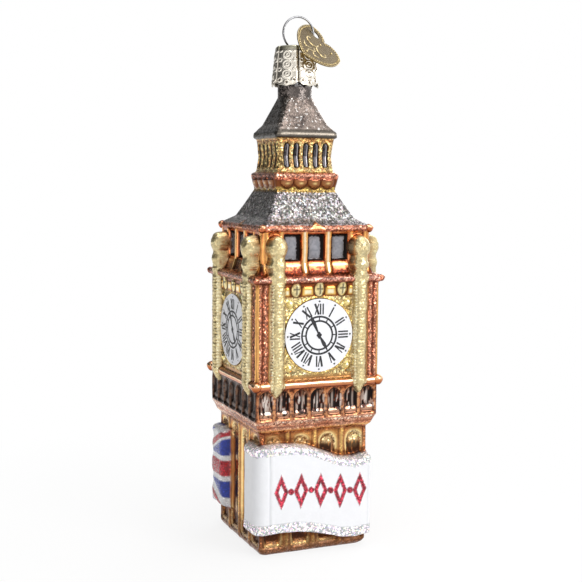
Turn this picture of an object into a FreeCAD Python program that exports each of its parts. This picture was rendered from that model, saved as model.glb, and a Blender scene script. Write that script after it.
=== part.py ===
import FreeCAD, Part
import math
import os
import Sketcher

# A hanging ornament of blown glass in the shape of a London clock tower.
# Millimetres, +Z up, the origin under the middle of the foot, the front face
# looks along -Y.  The glass is one hollow blown piece; a crimped metal cap
# sits on its neck, a wire hanger goes through the cap and a heart tag hangs
# on the wire.  Four printed dials are stuck on the clock stage.

SIZES = [
    # the square tower, from the foot up
    ("wall", 1.1, "glass thickness behind the relief"),
    ("relief_depth", 0.7, "depth of every moulded recess"),
    ("foot_half", 13.2, "half width of the flat under the foot"),
    ("foot_rise", 1.2, "height of the rounded foot edge"),
    ("shaft_half", 14.2, "half width of the shaft"),
    ("shaft_height", 28.8, "height of the shaft"),
    ("cornice_step", 0.8, "first step of the cornice"),
    ("cornice_step_rise", 0.7, "height of that step"),
    ("cornice_height", 3.3, "height of the cornice"),
    ("arcade_half", 16.0, "half width of the arcade"),
    ("arcade_height", 7.3, "height of the arcade"),
    ("ledge_swell", 0.85, "how far the lower ledge stands out"),
    ("ledge_height", 2.2, "height of the lower ledge"),
    ("ledge_bevel", 0.35, "bevel of both ledges"),
    ("clock_half", 16.0, "half width of the clock panels"),
    ("clock_height", 23.0, "height of the clock stage"),
    ("hood_swell", 1.0, "how far the upper ledge stands out"),
    ("hood_height", 2.1, "height of the upper ledge"),
    ("belfry_half", 14.1, "half width of the belfry"),
    ("belfry_height", 10.2, "height of the belfry"),
    ("sill_swell", 0.8, "how far the belfry sill stands out"),
    ("sill_height", 2.6, "height of the sloping sill"),
    ("eave_swell", 0.25, "how far the eave stands out"),
    ("eave_height", 1.4, "height of the eave"),
    ("roof_height", 8.4, "height of the lower roof"),
    ("roof_flare_rise", 1.7, "rise of the roof's flared skirt"),
    ("roof_flare_half", 11.5, "half width at the top of the skirt"),
    ("roof_waist_rise", 5.1, "rise of the roof's waist"),
    ("roof_waist_half", 9.6, "half width of the roof's waist"),
    ("roof_top_half", 7.85, "half width at the top of the lower roof"),
    ("band_height", 4.0, "height of the band under the lantern"),
    ("band_rise", 2.7, "rise of the band's flared part"),
    ("band_half", 8.5, "half width of the band"),
    ("lantern_half", 7.1, "half width of the lantern at its waist"),
    ("lantern_flare", 0.5, "flare of the lantern at both ends"),
    ("lantern_height", 8.4, "height of the lantern"),
    ("lip_half", 8.3, "half width of the spire's rolled lip"),
    ("lip_height", 2.0, "height of the rolled lip"),
    ("lip_round", 0.35, "rounding of the rolled lip"),
    ("spire_height", 8.45, "height of the spire"),
    ("spire_flare_rise", 1.5, "rise of the spire's skirt"),
    ("spire_flare_half", 6.7, "half width at the top of the skirt"),
    ("spire_waist_rise", 5.0, "rise of the spire's waist"),
    ("spire_waist_half", 5.25, "half width of the spire's waist"),
    ("spire_top_half", 4.0, "half width of the top of the spire"),
    ("neck_radius", 4.3, "outer radius of the neck"),
    ("neck_wall", 0.9, "glass thickness of the neck"),
    ("neck_height", 11.95, "height of the neck over the spire"),
    # relief on every face
    ("bay_pitch", 7.2, "distance between the shaft's bays"),
    ("bay_width", 4.9, "width of a bay"),
    ("bay_sill", 0.4, "height of a bay's foot over the foot edge"),
    ("bay_head", 0.6, "shaft left over the bays"),
    ("arch_pitch", 4.45, "distance between the arcade's arches"),
    ("arch_width", 3.3, "width of an arch"),
    ("arch_sill", 0.4, "arcade left under the arches"),
    ("arch_head", 0.7, "arcade left over the arches"),
    ("window_pitch", 6.2, "distance between the belfry windows"),
    ("window_width", 4.6, "width of a belfry window"),
    ("window_head", 0.4, "belfry left over the windows"),
    ("slot_pitch", 2.65, "distance between the lantern slots"),
    ("slot_width", 1.2, "width of a lantern slot"),
    ("slot_sill", 1.5, "lantern left under the slots"),
    ("slot_head", 1.3, "lantern left over the slots"),
    ("pier_width", 4.0, "width of the clock stage's corner piers"),
    ("pier_swell", 0.4, "how far the piers stand out of the panels"),
    ("column_axis", 15.9, "distance of a column's axis from the tower's"),
    ("column_spread", 10.8, "distance of a column from the face's middle"),
    ("column_radius", 1.8, "radius of a column"),
    ("column_drop", 1.1, "drop of the column's tip under the ledge"),
    ("finial_radius", 2.4, "radius of the pinnacle over a column"),
    ("finial_height", 11.0, "height of the pinnacle"),
    ("finial_base", 4.6, "height of the pinnacle's plain part"),
    ("knob_radius", 1.4, "radius of the corner knobs"),
    ("shield_pitch", 6.0, "distance between the shields"),
    ("shield_width", 2.4, "width of a shield"),
    ("shield_height", 3.3, "height of a shield"),
    ("shield_swell", 0.5, "how far a shield stands out"),
    ("gable_width", 3.4, "width of the eave's small gable"),
    ("gable_height", 1.6, "height of that gable"),
    ("scallop_pitch", 3.6, "distance between the band's scallops"),
    ("scallop_radius", 1.5, "radius of a scallop"),
    # the name banner and the flag, raised on the shaft
    ("banner_face", 17.3, "distance of the banner's face from the axis"),
    ("banner_side", 16.3, "distance of its wrapped end from the axis"),
    ("banner_round", 2.0, "radius where the banner turns the corner"),
    ("banner_right", 15.0, "right end of the banner"),
    ("banner_wrap", 8.4, "where the wrapped end stops"),
    ("banner_foot", 4.35, "height of the banner's lower edge"),
    ("banner_foot_swing", 1.55, "wave of the lower edge"),
    ("banner_height", 20.65, "height of the banner"),
    ("banner_head_swing", 2.4, "wave of the upper edge"),
    ("flag_face", 17.3, "distance of the flag's face from the axis"),
    ("flag_side", 16.3, "distance of its wrapped end from the axis"),
    ("flag_round", 4.0, "radius where the flag turns the corner"),
    ("flag_right", 14.6, "far end of the flag on the back"),
    ("flag_wrap", 6.6, "where the wrapped end stops"),
    ("flag_foot", 6.1, "height of the flag's lower edge"),
    ("flag_height", 20.2, "height of the flag"),
    ("flag_swing", 0.45, "wave of the flag's edges"),
    # dials
    ("dial_radius", 8.8, "radius of a printed dial"),
    ("dial_thickness", 0.15, "thickness of a printed dial"),
    ("dial_rise", 10.6, "height of a dial's middle over the lower ledge"),
    # cap
    ("cap_sheet", 0.25, "thickness of the cap's metal"),
    ("cap_fit", 0.1, "clearance between the cap and the neck"),
    ("cap_skirt", 9.7, "drop of the cap's skirt under its top"),
    ("cap_flare", 0.95, "how much wider the skirt is at its edge"),
    ("cap_bulge", 0.2, "how far each lobe of the cap stands out"),
    ("cap_notch", 0.9, "radius of the notches in the skirt's edge"),
    # hanger
    ("wire_radius", 0.25, "radius of the hanger's wire"),
    ("wire_fit", 0.2, "clearance of the wire in the cap's holes"),
    ("leg_spacing", 4.0, "distance between the hanger's legs"),
    ("leg_straight", 5.2, "straight length of a leg under the cap"),
    ("leg_length", 16.8, "length of a leg under the cap's top"),
    ("leg_clearance", 0.25, "gap between a leg's end and the bore"),
    ("loop_radius", 4.05, "radius of the hanger's loop"),
    ("loop_shift", 0.75, "how far the loop leans to the right"),
    ("shoulder_radius", 0.66, "bend where a leg becomes the loop"),
    ("shoulder_gap", 0.08, "gap between that bend and the cap"),
    # heart tag
    ("tag_thickness", 0.28, "thickness of the tag"),
    ("tag_hole_radius", 1.25, "radius of the hole in the tag"),
    ("tag_play", 0.58, "offset of the hole's middle from the wire"),
    ("tag_depth", 0.25, "offset of the hole's middle behind the wire"),
    ("heart_across", 2.98, "hole to the heart's middle line"),
    ("heart_up", 0.87, "notch above the hole"),
    ("heart_lobe", 3.03, "middle of a lobe from the middle line"),
    ("heart_lobe_drop", 1.03, "middle of a lobe under the notch"),
    ("heart_waist_drop", 0.298, "end of the lobe's arc under the notch"),
    ("heart_length", 14.63, "tip of the heart under the notch"),
    ("heart_flank_radius", 13.13, "radius of the heart's flanks"),
    ("tag_yaw", -26.89, "turn of the tag about the vertical, degrees"),
    ("tag_pitch", 48.92, "pitch of the tag, degrees"),
    ("tag_roll", 24.27, "roll of the tag, degrees"),
]

# The banner's wave, as (share of the length, share of the swing).
BANNER_WAVE = [(0.0, 0.83), (0.17, 1.0), (0.34, 0.92), (0.46, 0.58), (0.59, -0.12),
               (0.71, -0.75), (0.84, -1.0), (0.93, -0.8), (1.0, -0.5)]
FLAG_WAVE = [(0.0, 0.6), (0.16, 1.0), (0.33, 0.2), (0.5, -0.9), (0.67, -0.6),
             (0.83, 0.4), (1.0, 0.9)]
FACES = 4
CAP_LOBES = 6
CAP_TURN = -105.3

doc = FreeCAD.newDocument("ClockTowerOrnament")
sheet = doc.addObject("Spreadsheet::Sheet", "Sizes")


class Rule:
    """A size or a sum of sizes: its number, and its expression on the sheet."""

    def __init__(self, number, text):
        self.number = number
        self.text = text

    def __add__(self, other):
        other = rule(other)
        return Rule(self.number + other.number, "(%s + %s)" % (self.text, other.text))

    def __sub__(self, other):
        other = rule(other)
        return Rule(self.number - other.number, "(%s - %s)" % (self.text, other.text))

    def __mul__(self, other):
        other = rule(other)
        return Rule(self.number * other.number, "(%s * %s)" % (self.text, other.text))

    def __truediv__(self, other):
        other = rule(other)
        return Rule(self.number / other.number, "(%s / %s)" % (self.text, other.text))

    def __neg__(self):
        return Rule(-self.number, "(0 - %s)" % self.text)

    def root(self):
        """Return the square root."""
        return Rule(math.sqrt(self.number), "sqrt(%s)" % self.text)


def rule(number):
    """Return a plain number as a rule; a rule stays as it is."""
    if isinstance(number, Rule):
        return number
    return Rule(float(number), "(%.6f)" % number)


class Named:
    """The sheet's sizes as rules, one attribute for each alias."""


size = Named()


def fill_sheet():
    """Write every size in the sheet and make its rule."""
    for row, (alias, number, note) in enumerate(SIZES, 1):
        sheet.set("A%d" % row, note)
        sheet.set("B%d" % row, str(number))
        sheet.setAlias("B%d" % row, alias)
    doc.recompute()
    for alias, number, note in SIZES:
        setattr(size, alias, Rule(float(sheet.get(alias)), "Sizes." + alias))


fill_sheet()

# Levels of the tower, each the sum of the stages under it.
foot_top = size.foot_rise
shaft_top = foot_top + size.shaft_height
cornice_top = shaft_top + size.cornice_height
arcade_top = cornice_top + size.arcade_height
ledge_top = arcade_top + size.ledge_height
clock_top = ledge_top + size.clock_height
hood_top = clock_top + size.hood_height
belfry_top = hood_top + size.belfry_height
eave_top = belfry_top + size.eave_height
roof_top = eave_top + size.roof_height
band_top = roof_top + size.band_height
lantern_top = band_top + size.lantern_height
lip_top = lantern_top + size.lip_height
spire_top = lip_top + size.spire_height
neck_top = spire_top + size.neck_height
ledge_half = size.arcade_half + size.ledge_swell
hood_half = size.clock_half + size.hood_swell
lantern_end = size.lantern_half + size.lantern_flare
inset = size.wall + size.relief_depth
core = size.shaft_half - size.relief_depth


# --------------------------------------------------------------- helpers

def new_body(label):
    """Make an empty body with the sub-part's name."""
    body = doc.addObject("PartDesign::Body", label)
    body.Label = label
    return body


def plane_of(body, role):
    """Find one of the body's own origin planes or axes by its role."""
    for feature in body.Origin.OriginFeatures:
        if feature.Role == role:
            return feature
    raise RuntimeError("no " + role)


def new_sketch(body, name, role, away=None, across=None):
    """Start a sketch on an origin plane, moved along the plane's normal."""
    sketch = body.newObject("Sketcher::SketchObject", name)
    sketch.AttachmentSupport = [(plane_of(body, role), "")]
    sketch.MapMode = "FlatFace"
    for axis, move in (("z", away), ("x", across)):
        if move is not None:
            sketch.setExpression("AttachmentOffset.Base." + axis, rule(move).text)
    return sketch


def pin(sketch, geometry, point, x=None, y=None):
    """Hold one point of a sketch at x and y."""
    for kind, place in (("DistanceX", x), ("DistanceY", y)):
        if place is None:
            continue
        place = rule(place)
        held = Sketcher.Constraint(kind, -1, 1, geometry, point, place.number)
        number = sketch.addConstraint(held)
        sketch.setExpression("Constraints[%d]" % number, place.text)


def hold_radius(sketch, geometry, radius):
    """Hold the radius of an arc or a circle."""
    radius = rule(radius)
    number = sketch.addConstraint(Sketcher.Constraint("Radius", geometry, radius.number))
    sketch.setExpression("Constraints[%d]" % number, radius.text)


def polygon(sketch, corners):
    """Draw a closed outline through the corners and pin each of them."""
    corners = [(rule(x), rule(y)) for x, y in corners]
    first = sketch.GeometryCount
    count = len(corners)
    for i in range(count):
        x1, y1 = corners[i]
        x2, y2 = corners[(i + 1) % count]
        sketch.addGeometry(Part.LineSegment(FreeCAD.Vector(x1.number, y1.number, 0),
                                            FreeCAD.Vector(x2.number, y2.number, 0)))
    for i in range(count):
        after = first + (i + 1) % count
        sketch.addConstraint(Sketcher.Constraint("Coincident", first + i, 2, after, 1))
    for i in range(count):
        pin(sketch, first + i, 1, corners[i][0], corners[i][1])


def square(sketch, half):
    """Draw a square about the origin."""
    polygon(sketch, [(-half, -half), (half, -half), (half, half), (-half, half)])


def arch(sketch, middle, width, foot, head):
    """Draw a round-headed opening from its foot to the crown at head."""
    half = width / 2
    middle = rule(middle)
    left = middle - half
    right = middle + half
    spring = head - half
    low_left = FreeCAD.Vector(left.number, foot.number, 0)
    low_right = FreeCAD.Vector(right.number, foot.number, 0)
    high_right = FreeCAD.Vector(right.number, spring.number, 0)
    high_left = FreeCAD.Vector(left.number, spring.number, 0)
    crown = FreeCAD.Vector(middle.number, head.number, 0)
    first = sketch.GeometryCount
    sketch.addGeometry(Part.LineSegment(low_left, low_right))
    sketch.addGeometry(Part.LineSegment(low_right, high_right))
    sketch.addGeometry(Part.Arc(high_right, crown, high_left))
    sketch.addGeometry(Part.LineSegment(high_left, low_left))
    sketch.addConstraint(Sketcher.Constraint("Coincident", first, 2, first + 1, 1))
    sketch.addConstraint(Sketcher.Constraint("Coincident", first + 1, 2, first + 2, 1))
    sketch.addConstraint(Sketcher.Constraint("Coincident", first + 2, 2, first + 3, 1))
    sketch.addConstraint(Sketcher.Constraint("Coincident", first + 3, 2, first, 1))
    pin(sketch, first, 1, left, foot)
    pin(sketch, first, 2, right, foot)
    pin(sketch, first + 1, 2, right, spring)
    pin(sketch, first + 3, 1, left, spring)
    pin(sketch, first + 2, 3, y=spring)


def circle(sketch, x, y, radius):
    """Draw a circle and hold its middle and radius."""
    x = rule(x)
    y = rule(y)
    radius = rule(radius)
    middle = FreeCAD.Vector(x.number, y.number, 0)
    ring = Part.Circle(middle, FreeCAD.Vector(0, 0, 1), radius.number)
    number = sketch.addGeometry(ring)
    pin(sketch, number, 3, x, y)
    hold_radius(sketch, number, radius)


def pad(body, name, sketch, length):
    """Raise a sketch along its plane's normal."""
    feature = body.newObject("PartDesign::Pad", name)
    feature.Profile = sketch
    feature.setExpression("Length", rule(length).text)
    return feature


def pocket(body, name, sketch, depth):
    """Cut a sketch into the body, against its plane's normal."""
    feature = body.newObject("PartDesign::Pocket", name)
    feature.Profile = sketch
    feature.setExpression("Length", rule(depth).text)
    return feature


def loft(body, kind, name, stations):
    """Loft straight from square to square; stations are (height, half width)."""
    sections = []
    for number, (height, half) in enumerate(stations):
        sketch = new_sketch(body, "%sSection%02d" % (name, number), "XY_Plane", height)
        square(sketch, rule(half))
        sections.append(sketch)
    feature = body.newObject("PartDesign::" + kind, name)
    feature.Profile = sections[0]
    feature.Sections = sections[1:]
    feature.Ruled = True
    return feature


def around(body, name, originals, copies):
    """Repeat features evenly about the vertical axis."""
    feature = body.newObject("PartDesign::PolarPattern", name)
    feature.Originals = originals
    feature.Axis = (plane_of(body, "Z_Axis"), [""])
    feature.Angle = 360
    feature.Occurrences = copies
    body.Tip = feature
    return feature


# ------------------------------------------------------------ glass body

def tower_stations():
    """Heights and half widths of the tower's outside, foot to spire."""
    return [
        (rule(0), size.foot_half),
        (foot_top, size.shaft_half),
        (shaft_top, size.shaft_half),
        (shaft_top + size.cornice_step_rise, size.shaft_half + size.cornice_step),
        (cornice_top, size.arcade_half),
        (arcade_top, size.arcade_half),
        (arcade_top + size.ledge_bevel, ledge_half),
        (ledge_top - size.ledge_bevel, ledge_half),
        (ledge_top, size.clock_half),
        (clock_top, size.clock_half),
        (clock_top + size.ledge_bevel, hood_half),
        (hood_top - size.ledge_bevel, hood_half),
        (hood_top, size.belfry_half + size.sill_swell),
        (hood_top + size.sill_height, size.belfry_half),
        (belfry_top, size.belfry_half),
        (belfry_top + size.ledge_bevel, size.belfry_half + size.eave_swell),
        (eave_top, size.belfry_half),
        (eave_top + size.roof_flare_rise, size.roof_flare_half),
        (eave_top + size.roof_waist_rise, size.roof_waist_half),
        (roof_top, size.roof_top_half),
        (roof_top + size.band_rise, size.band_half),
        (band_top, size.band_half),
        (band_top + size.lip_round, lantern_end),
        (band_top + size.lantern_height / 2, size.lantern_half),
        (lantern_top, lantern_end),
        (lantern_top + size.lip_round, size.lip_half),
        (lip_top - size.lip_round, size.lip_half),
        (lip_top, size.lip_half - size.lip_round),
        (lip_top + size.spire_flare_rise, size.spire_flare_half),
        (lip_top + size.spire_waist_rise, size.spire_waist_half),
        (spire_top, size.spire_top_half),
    ]


def hollow_stations():
    """Heights and half widths of the hollow inside the tower."""
    return [
        (size.wall, size.foot_half - size.wall - size.relief_depth),
        (foot_top + size.wall, size.shaft_half - inset),
        (shaft_top, size.shaft_half - inset),
        (cornice_top, size.arcade_half - inset),
        (clock_top, size.clock_half - inset),
        (hood_top, size.belfry_half - inset),
        (eave_top, size.belfry_half - inset),
        (eave_top + size.roof_flare_rise, size.roof_flare_half - size.wall * 1.2),
        (eave_top + size.roof_waist_rise, size.roof_waist_half - size.wall),
        (roof_top, size.roof_top_half - size.wall),
        (band_top, size.lantern_half - inset),
        (lantern_top, size.lantern_half - inset),
        (lip_top + size.spire_flare_rise, size.spire_flare_half - size.wall),
        (lip_top + size.spire_waist_rise, size.spire_waist_half - size.wall),
    ]


def row_of_arches(body, name, face, count, pitch, width, foot, head, depth):
    """Cut a row of round-headed recesses in the front face."""
    sketch = new_sketch(body, name + "Sketch", "XZ_Plane", face)
    for i in range(count):
        arch(sketch, pitch * (i - (count - 1) / 2), width, foot, head)
    return pocket(body, name, sketch, depth)


def column(body, name, side):
    """Turn one corner column with its pinnacle; side is -1 or 1."""
    sketch = new_sketch(body, name + "Sketch", "XZ_Plane", size.column_axis,
                        size.column_spread * side)
    foot = arcade_top - size.column_drop
    start = clock_top + size.ledge_bevel
    top = start + size.finial_height
    bulb = size.finial_radius * 0.8
    polygon(sketch, [
        (rule(0), foot),
        (size.column_radius, foot + size.column_radius),
        (size.column_radius, start),
        (size.finial_radius, start + size.ledge_bevel),
        (size.finial_radius, start + size.finial_base),
        (bulb, start + size.finial_base + size.ledge_bevel),
        (size.finial_radius, start + size.finial_base + size.finial_radius * 0.7),
        (bulb, start + size.finial_base + size.finial_radius * 1.3),
        (rule(0), top),
    ])
    feature = body.newObject("PartDesign::Revolution", name)
    feature.Profile = sketch
    feature.ReferenceAxis = (sketch, ["V_Axis"])
    feature.Angle = 360
    return feature


def knob(body, name, reach, height):
    """Add a round knob on a corner of a ledge."""
    feature = body.newObject("PartDesign::AdditiveSphere", name)
    feature.AttachmentSupport = [(plane_of(body, "XY_Plane"), "")]
    feature.MapMode = "FlatFace"
    feature.setExpression("Radius", size.knob_radius.text)
    feature.setExpression("AttachmentOffset.Base.x", reach.text)
    feature.setExpression("AttachmentOffset.Base.y", reach.text)
    feature.setExpression("AttachmentOffset.Base.z", height.text)
    return feature


def raised_features(body):
    """Add what stands out of one face; the pattern repeats it."""
    made = [column(body, "ColumnLeft", -1), column(body, "ColumnRight", 1)]
    made.append(knob(body, "LedgeKnob", ledge_half - size.ledge_swell,
                     arcade_top + size.ledge_height / 2))
    made.append(knob(body, "EaveKnob", size.belfry_half - size.eave_swell,
                     eave_top - size.eave_height / 2))

    piers = new_sketch(body, "PierSketch", "XY_Plane", ledge_top)
    outer = size.clock_half + size.pier_swell
    inner = outer - size.pier_width
    polygon(piers, [(inner, inner), (outer, inner), (outer, outer), (inner, outer)])
    made.append(pad(body, "Pier", piers, size.clock_height))

    shields = new_sketch(body, "ShieldSketch", "XZ_Plane", size.clock_half - size.wall)
    half = size.shield_width / 2
    top = clock_top + size.ledge_bevel
    shoulder = top - size.shield_height * 0.6
    point = top - size.shield_height
    for i in (-1, 0, 1):
        x = size.shield_pitch * i
        polygon(shields, [(x - half, top), (x - half, shoulder), (x, point),
                          (x + half, shoulder), (x + half, top)])
    made.append(pad(body, "Shields", shields, size.shield_swell + size.wall))

    gable = new_sketch(body, "GableSketch", "XZ_Plane", size.belfry_half - size.wall)
    half = size.gable_width / 2
    foot = eave_top - size.eave_height / 2
    crown = eave_top + size.gable_height - size.eave_height / 2
    polygon(gable, [(-half, foot), (half, foot), (rule(0), crown)])
    made.append(pad(body, "Gable", gable, size.wall + size.eave_swell * 2))

    scallops = new_sketch(body, "ScallopSketch", "XZ_Plane", size.roof_top_half - size.wall)
    for i in range(4):
        circle(scallops, size.scallop_pitch * (i - 1.5), roof_top + size.band_rise / 2,
               size.scallop_radius)
    made.append(pad(body, "Scallops", scallops,
                    size.wall + size.band_half - size.roof_top_half))
    return made


def recesses(body):
    """Cut the recesses of one face; the pattern repeats them."""
    bays = row_of_arches(body, "Bays", size.shaft_half, 4, size.bay_pitch, size.bay_width,
                         foot_top + size.bay_sill, shaft_top - size.bay_head,
                         size.relief_depth)
    arches = row_of_arches(body, "Arches", size.arcade_half, 7, size.arch_pitch,
                           size.arch_width, cornice_top + size.arch_sill,
                           arcade_top - size.arch_head, size.relief_depth)
    windows = row_of_arches(body, "Windows", size.belfry_half, 3, size.window_pitch,
                            size.window_width, hood_top + size.sill_height,
                            belfry_top - size.window_head, size.relief_depth)
    slots = row_of_arches(body, "Slots", lantern_end, 5, size.slot_pitch, size.slot_width,
                          band_top + size.slot_sill, lantern_top - size.slot_head,
                          size.lantern_flare + size.relief_depth)
    return [bays, arches, windows, slots]


def wavy_outline(sketch, left, right, foot, foot_swing, head, head_swing, wave):
    """Draw a panel whose lower and upper edges follow the wave."""
    length = right - left
    lower = [(left + length * share, foot + foot_swing * lift) for share, lift in wave]
    upper = [(left + length * share, head + head_swing * lift) for share, lift in wave]
    polygon(sketch, lower + upper[::-1])


def corner_post(body, name, x, y, radius, foot, head):
    """Round the corner where a panel turns from one face to the next."""
    sketch = new_sketch(body, name + "Sketch", "XY_Plane", foot)
    circle(sketch, x, y, radius)
    return pad(body, name, sketch, head - foot)


def banner(body):
    """Raise the waving name banner on the front and round the left corner."""
    turn_x = size.banner_round - size.banner_side
    turn_y = size.banner_round - size.banner_face
    head = size.banner_foot + size.banner_height
    first = BANNER_WAVE[0][1]
    left_foot = size.banner_foot + size.banner_foot_swing * first
    left_head = head + size.banner_head_swing * first
    front = new_sketch(body, "BannerSketch", "XZ_Plane", core)
    wavy_outline(front, turn_x, size.banner_right, size.banner_foot, size.banner_foot_swing,
                 head, size.banner_head_swing, BANNER_WAVE)
    pad(body, "Banner", front, size.banner_face - core)
    corner_post(body, "BannerCorner", turn_x, turn_y, size.banner_round,
                left_foot, left_head)
    side = new_sketch(body, "BannerEndSketch", "YZ_Plane", -size.banner_side)
    polygon(side, [(turn_y, left_foot), (-size.banner_wrap, left_foot),
                   (-size.banner_wrap, left_head), (turn_y, left_head)])
    pad(body, "BannerEnd", side, size.banner_side - core)


def flag(body):
    """Raise the waving flag on the back and round the corner to the left."""
    turn_x = size.flag_round - size.flag_side
    turn_y = size.flag_face - size.flag_round
    head = size.flag_foot + size.flag_height
    first = FLAG_WAVE[0][1]
    left_foot = size.flag_foot + size.flag_swing * first
    left_head = head + size.flag_swing * first
    back = new_sketch(body, "FlagSketch", "XZ_Plane", -size.flag_face)
    wavy_outline(back, turn_x, size.flag_right, size.flag_foot, size.flag_swing,
                 head, size.flag_swing, FLAG_WAVE)
    pad(body, "Flag", back, size.flag_face - core)
    corner_post(body, "FlagCorner", turn_x, turn_y, size.flag_round, left_foot, left_head)
    side = new_sketch(body, "FlagEndSketch", "YZ_Plane", -size.flag_side)
    polygon(side, [(size.flag_wrap, left_foot), (turn_y, left_foot),
                   (turn_y, left_head), (size.flag_wrap, left_head)])
    pad(body, "FlagEnd", side, size.flag_side - core)


def neck(body):
    """Add the round neck on top of the spire."""
    root = lip_top + size.spire_waist_rise
    sketch = new_sketch(body, "NeckSketch", "XY_Plane", root)
    circle(sketch, 0, 0, size.neck_radius)
    pad(body, "Neck", sketch, neck_top - root)


def bore(body):
    """Open the neck into the hollow of the tower."""
    sketch = new_sketch(body, "BoreSketch", "XY_Plane", neck_top)
    circle(sketch, 0, 0, size.neck_radius - size.neck_wall)
    pocket(body, "Bore", sketch, neck_top - lip_top - size.spire_waist_rise + size.wall)


def glass_body():
    """The blown glass tower: relief outside, hollow inside, open at the neck."""
    body = new_body("glass_body")
    loft(body, "AdditiveLoft", "Tower", tower_stations())
    made = raised_features(body) + recesses(body)
    around(body, "FourFaces", made, FACES)
    banner(body)
    flag(body)
    neck(body)
    loft(body, "SubtractiveLoft", "Hollow", hollow_stations())
    bore(body)
    return body


# ----------------------------------------------------------- small parts

def dial(label, turn):
    """A thin printed disc on the clock panel that faces along turn."""
    body = new_body(label)
    sketch = new_sketch(body, label + "_sketch", "XY_Plane")
    circle(sketch, 0, 0, size.dial_radius)
    pad(body, label + "_disc", sketch, size.dial_thickness)
    away = FreeCAD.Rotation(FreeCAD.Vector(0, 0, 1), turn)
    upright = FreeCAD.Rotation(FreeCAD.Vector(1, 0, 0), 90)
    outward = away.multVec(FreeCAD.Vector(0, -1, 0))
    body.Placement = FreeCAD.Placement(FreeCAD.Vector(0, 0, 0), away.multiply(upright))
    body.setExpression("Placement.Base.x", (size.clock_half * round(outward.x)).text)
    body.setExpression("Placement.Base.y", (size.clock_half * round(outward.y)).text)
    body.setExpression("Placement.Base.z", (ledge_top + size.dial_rise).text)
    return body


def lobed_outline(sketch, seam, crown):
    """Draw a ring of bulging arcs from seam to seam."""
    step = 2 * math.pi / CAP_LOBES
    chord = seam * math.sin(step / 2)
    rise = crown - seam * math.cos(step / 2)
    bend = (chord * chord + rise * rise) / (rise * 2)
    points = []
    for i in range(CAP_LOBES):
        turn = math.radians(CAP_TURN) + i * step
        points.append((seam * math.cos(turn), seam * math.sin(turn)))
    first = sketch.GeometryCount
    for i in range(CAP_LOBES):
        middle = math.radians(CAP_TURN) + (i + 0.5) * step
        start = points[i]
        end = points[(i + 1) % CAP_LOBES]
        through = FreeCAD.Vector(crown.number * math.cos(middle),
                                 crown.number * math.sin(middle), 0)
        sketch.addGeometry(Part.Arc(FreeCAD.Vector(start[0].number, start[1].number, 0),
                                    through,
                                    FreeCAD.Vector(end[0].number, end[1].number, 0)))
    for i in range(CAP_LOBES):
        after = first + (i + 1) % CAP_LOBES
        sketch.addConstraint(Sketcher.Constraint("Coincident", first + i, 2, after, 1))
    for i in range(CAP_LOBES):
        pin(sketch, first + i, 1, points[i][0], points[i][1])
        hold_radius(sketch, first + i, bend)


def cap_loft(body, kind, name, low, high, seam_low, seam_high, bulge):
    """Loft the cap's lobed form between two heights."""
    below = new_sketch(body, name + "Low", "XY_Plane", low)
    lobed_outline(below, seam_low, seam_low + bulge)
    above = new_sketch(body, name + "High", "XY_Plane", high)
    lobed_outline(above, seam_high, seam_high + bulge)
    feature = body.newObject("PartDesign::" + kind, name)
    feature.Profile = below
    feature.Sections = [above]
    feature.Ruled = True


def cap():
    """The crimped metal cap: its top rests on the neck's rim."""
    body = new_body("cap")
    seam = size.neck_radius + size.cap_fit
    drop = -size.cap_skirt
    outside = seam + size.cap_sheet
    cap_loft(body, "AdditiveLoft", "Shell", drop, size.cap_sheet,
             outside + size.cap_flare, outside, size.cap_bulge)
    cap_loft(body, "SubtractiveLoft", "Inside", drop, rule(0),
             seam + size.cap_flare, seam, size.cap_bulge)
    holes = new_sketch(body, "HoleSketch", "XY_Plane", size.cap_sheet)
    for side in (-0.5, 0.5):
        circle(holes, size.leg_spacing * side, 0, size.wire_radius + size.wire_fit)
    pocket(body, "WireHoles", holes, size.cap_sheet * 2)
    notch = new_sketch(body, "NotchSketch", "XZ_Plane",
                       outside + size.cap_flare + size.cap_bulge)
    notch.AttachmentOffset = FreeCAD.Placement(
        FreeCAD.Vector(0, 0, 0), FreeCAD.Rotation(FreeCAD.Vector(0, 1, 0), CAP_TURN + 90))
    circle(notch, 0, drop, size.cap_notch)
    cut = pocket(body, "Notch", notch, size.cap_flare + size.cap_bulge + size.wall)
    around(body, "Notches", [cut], CAP_LOBES)
    body.setExpression("Placement.Base.z", neck_top.text)
    return body


def loop_middle():
    """Height of the middle of the hanger's loop."""
    start = neck_top + size.cap_sheet + size.shoulder_gap
    reach = size.loop_radius + size.shoulder_radius
    side = size.loop_shift + size.leg_spacing / 2 + size.shoulder_radius
    return start + (reach * reach - side * side).root()


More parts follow.
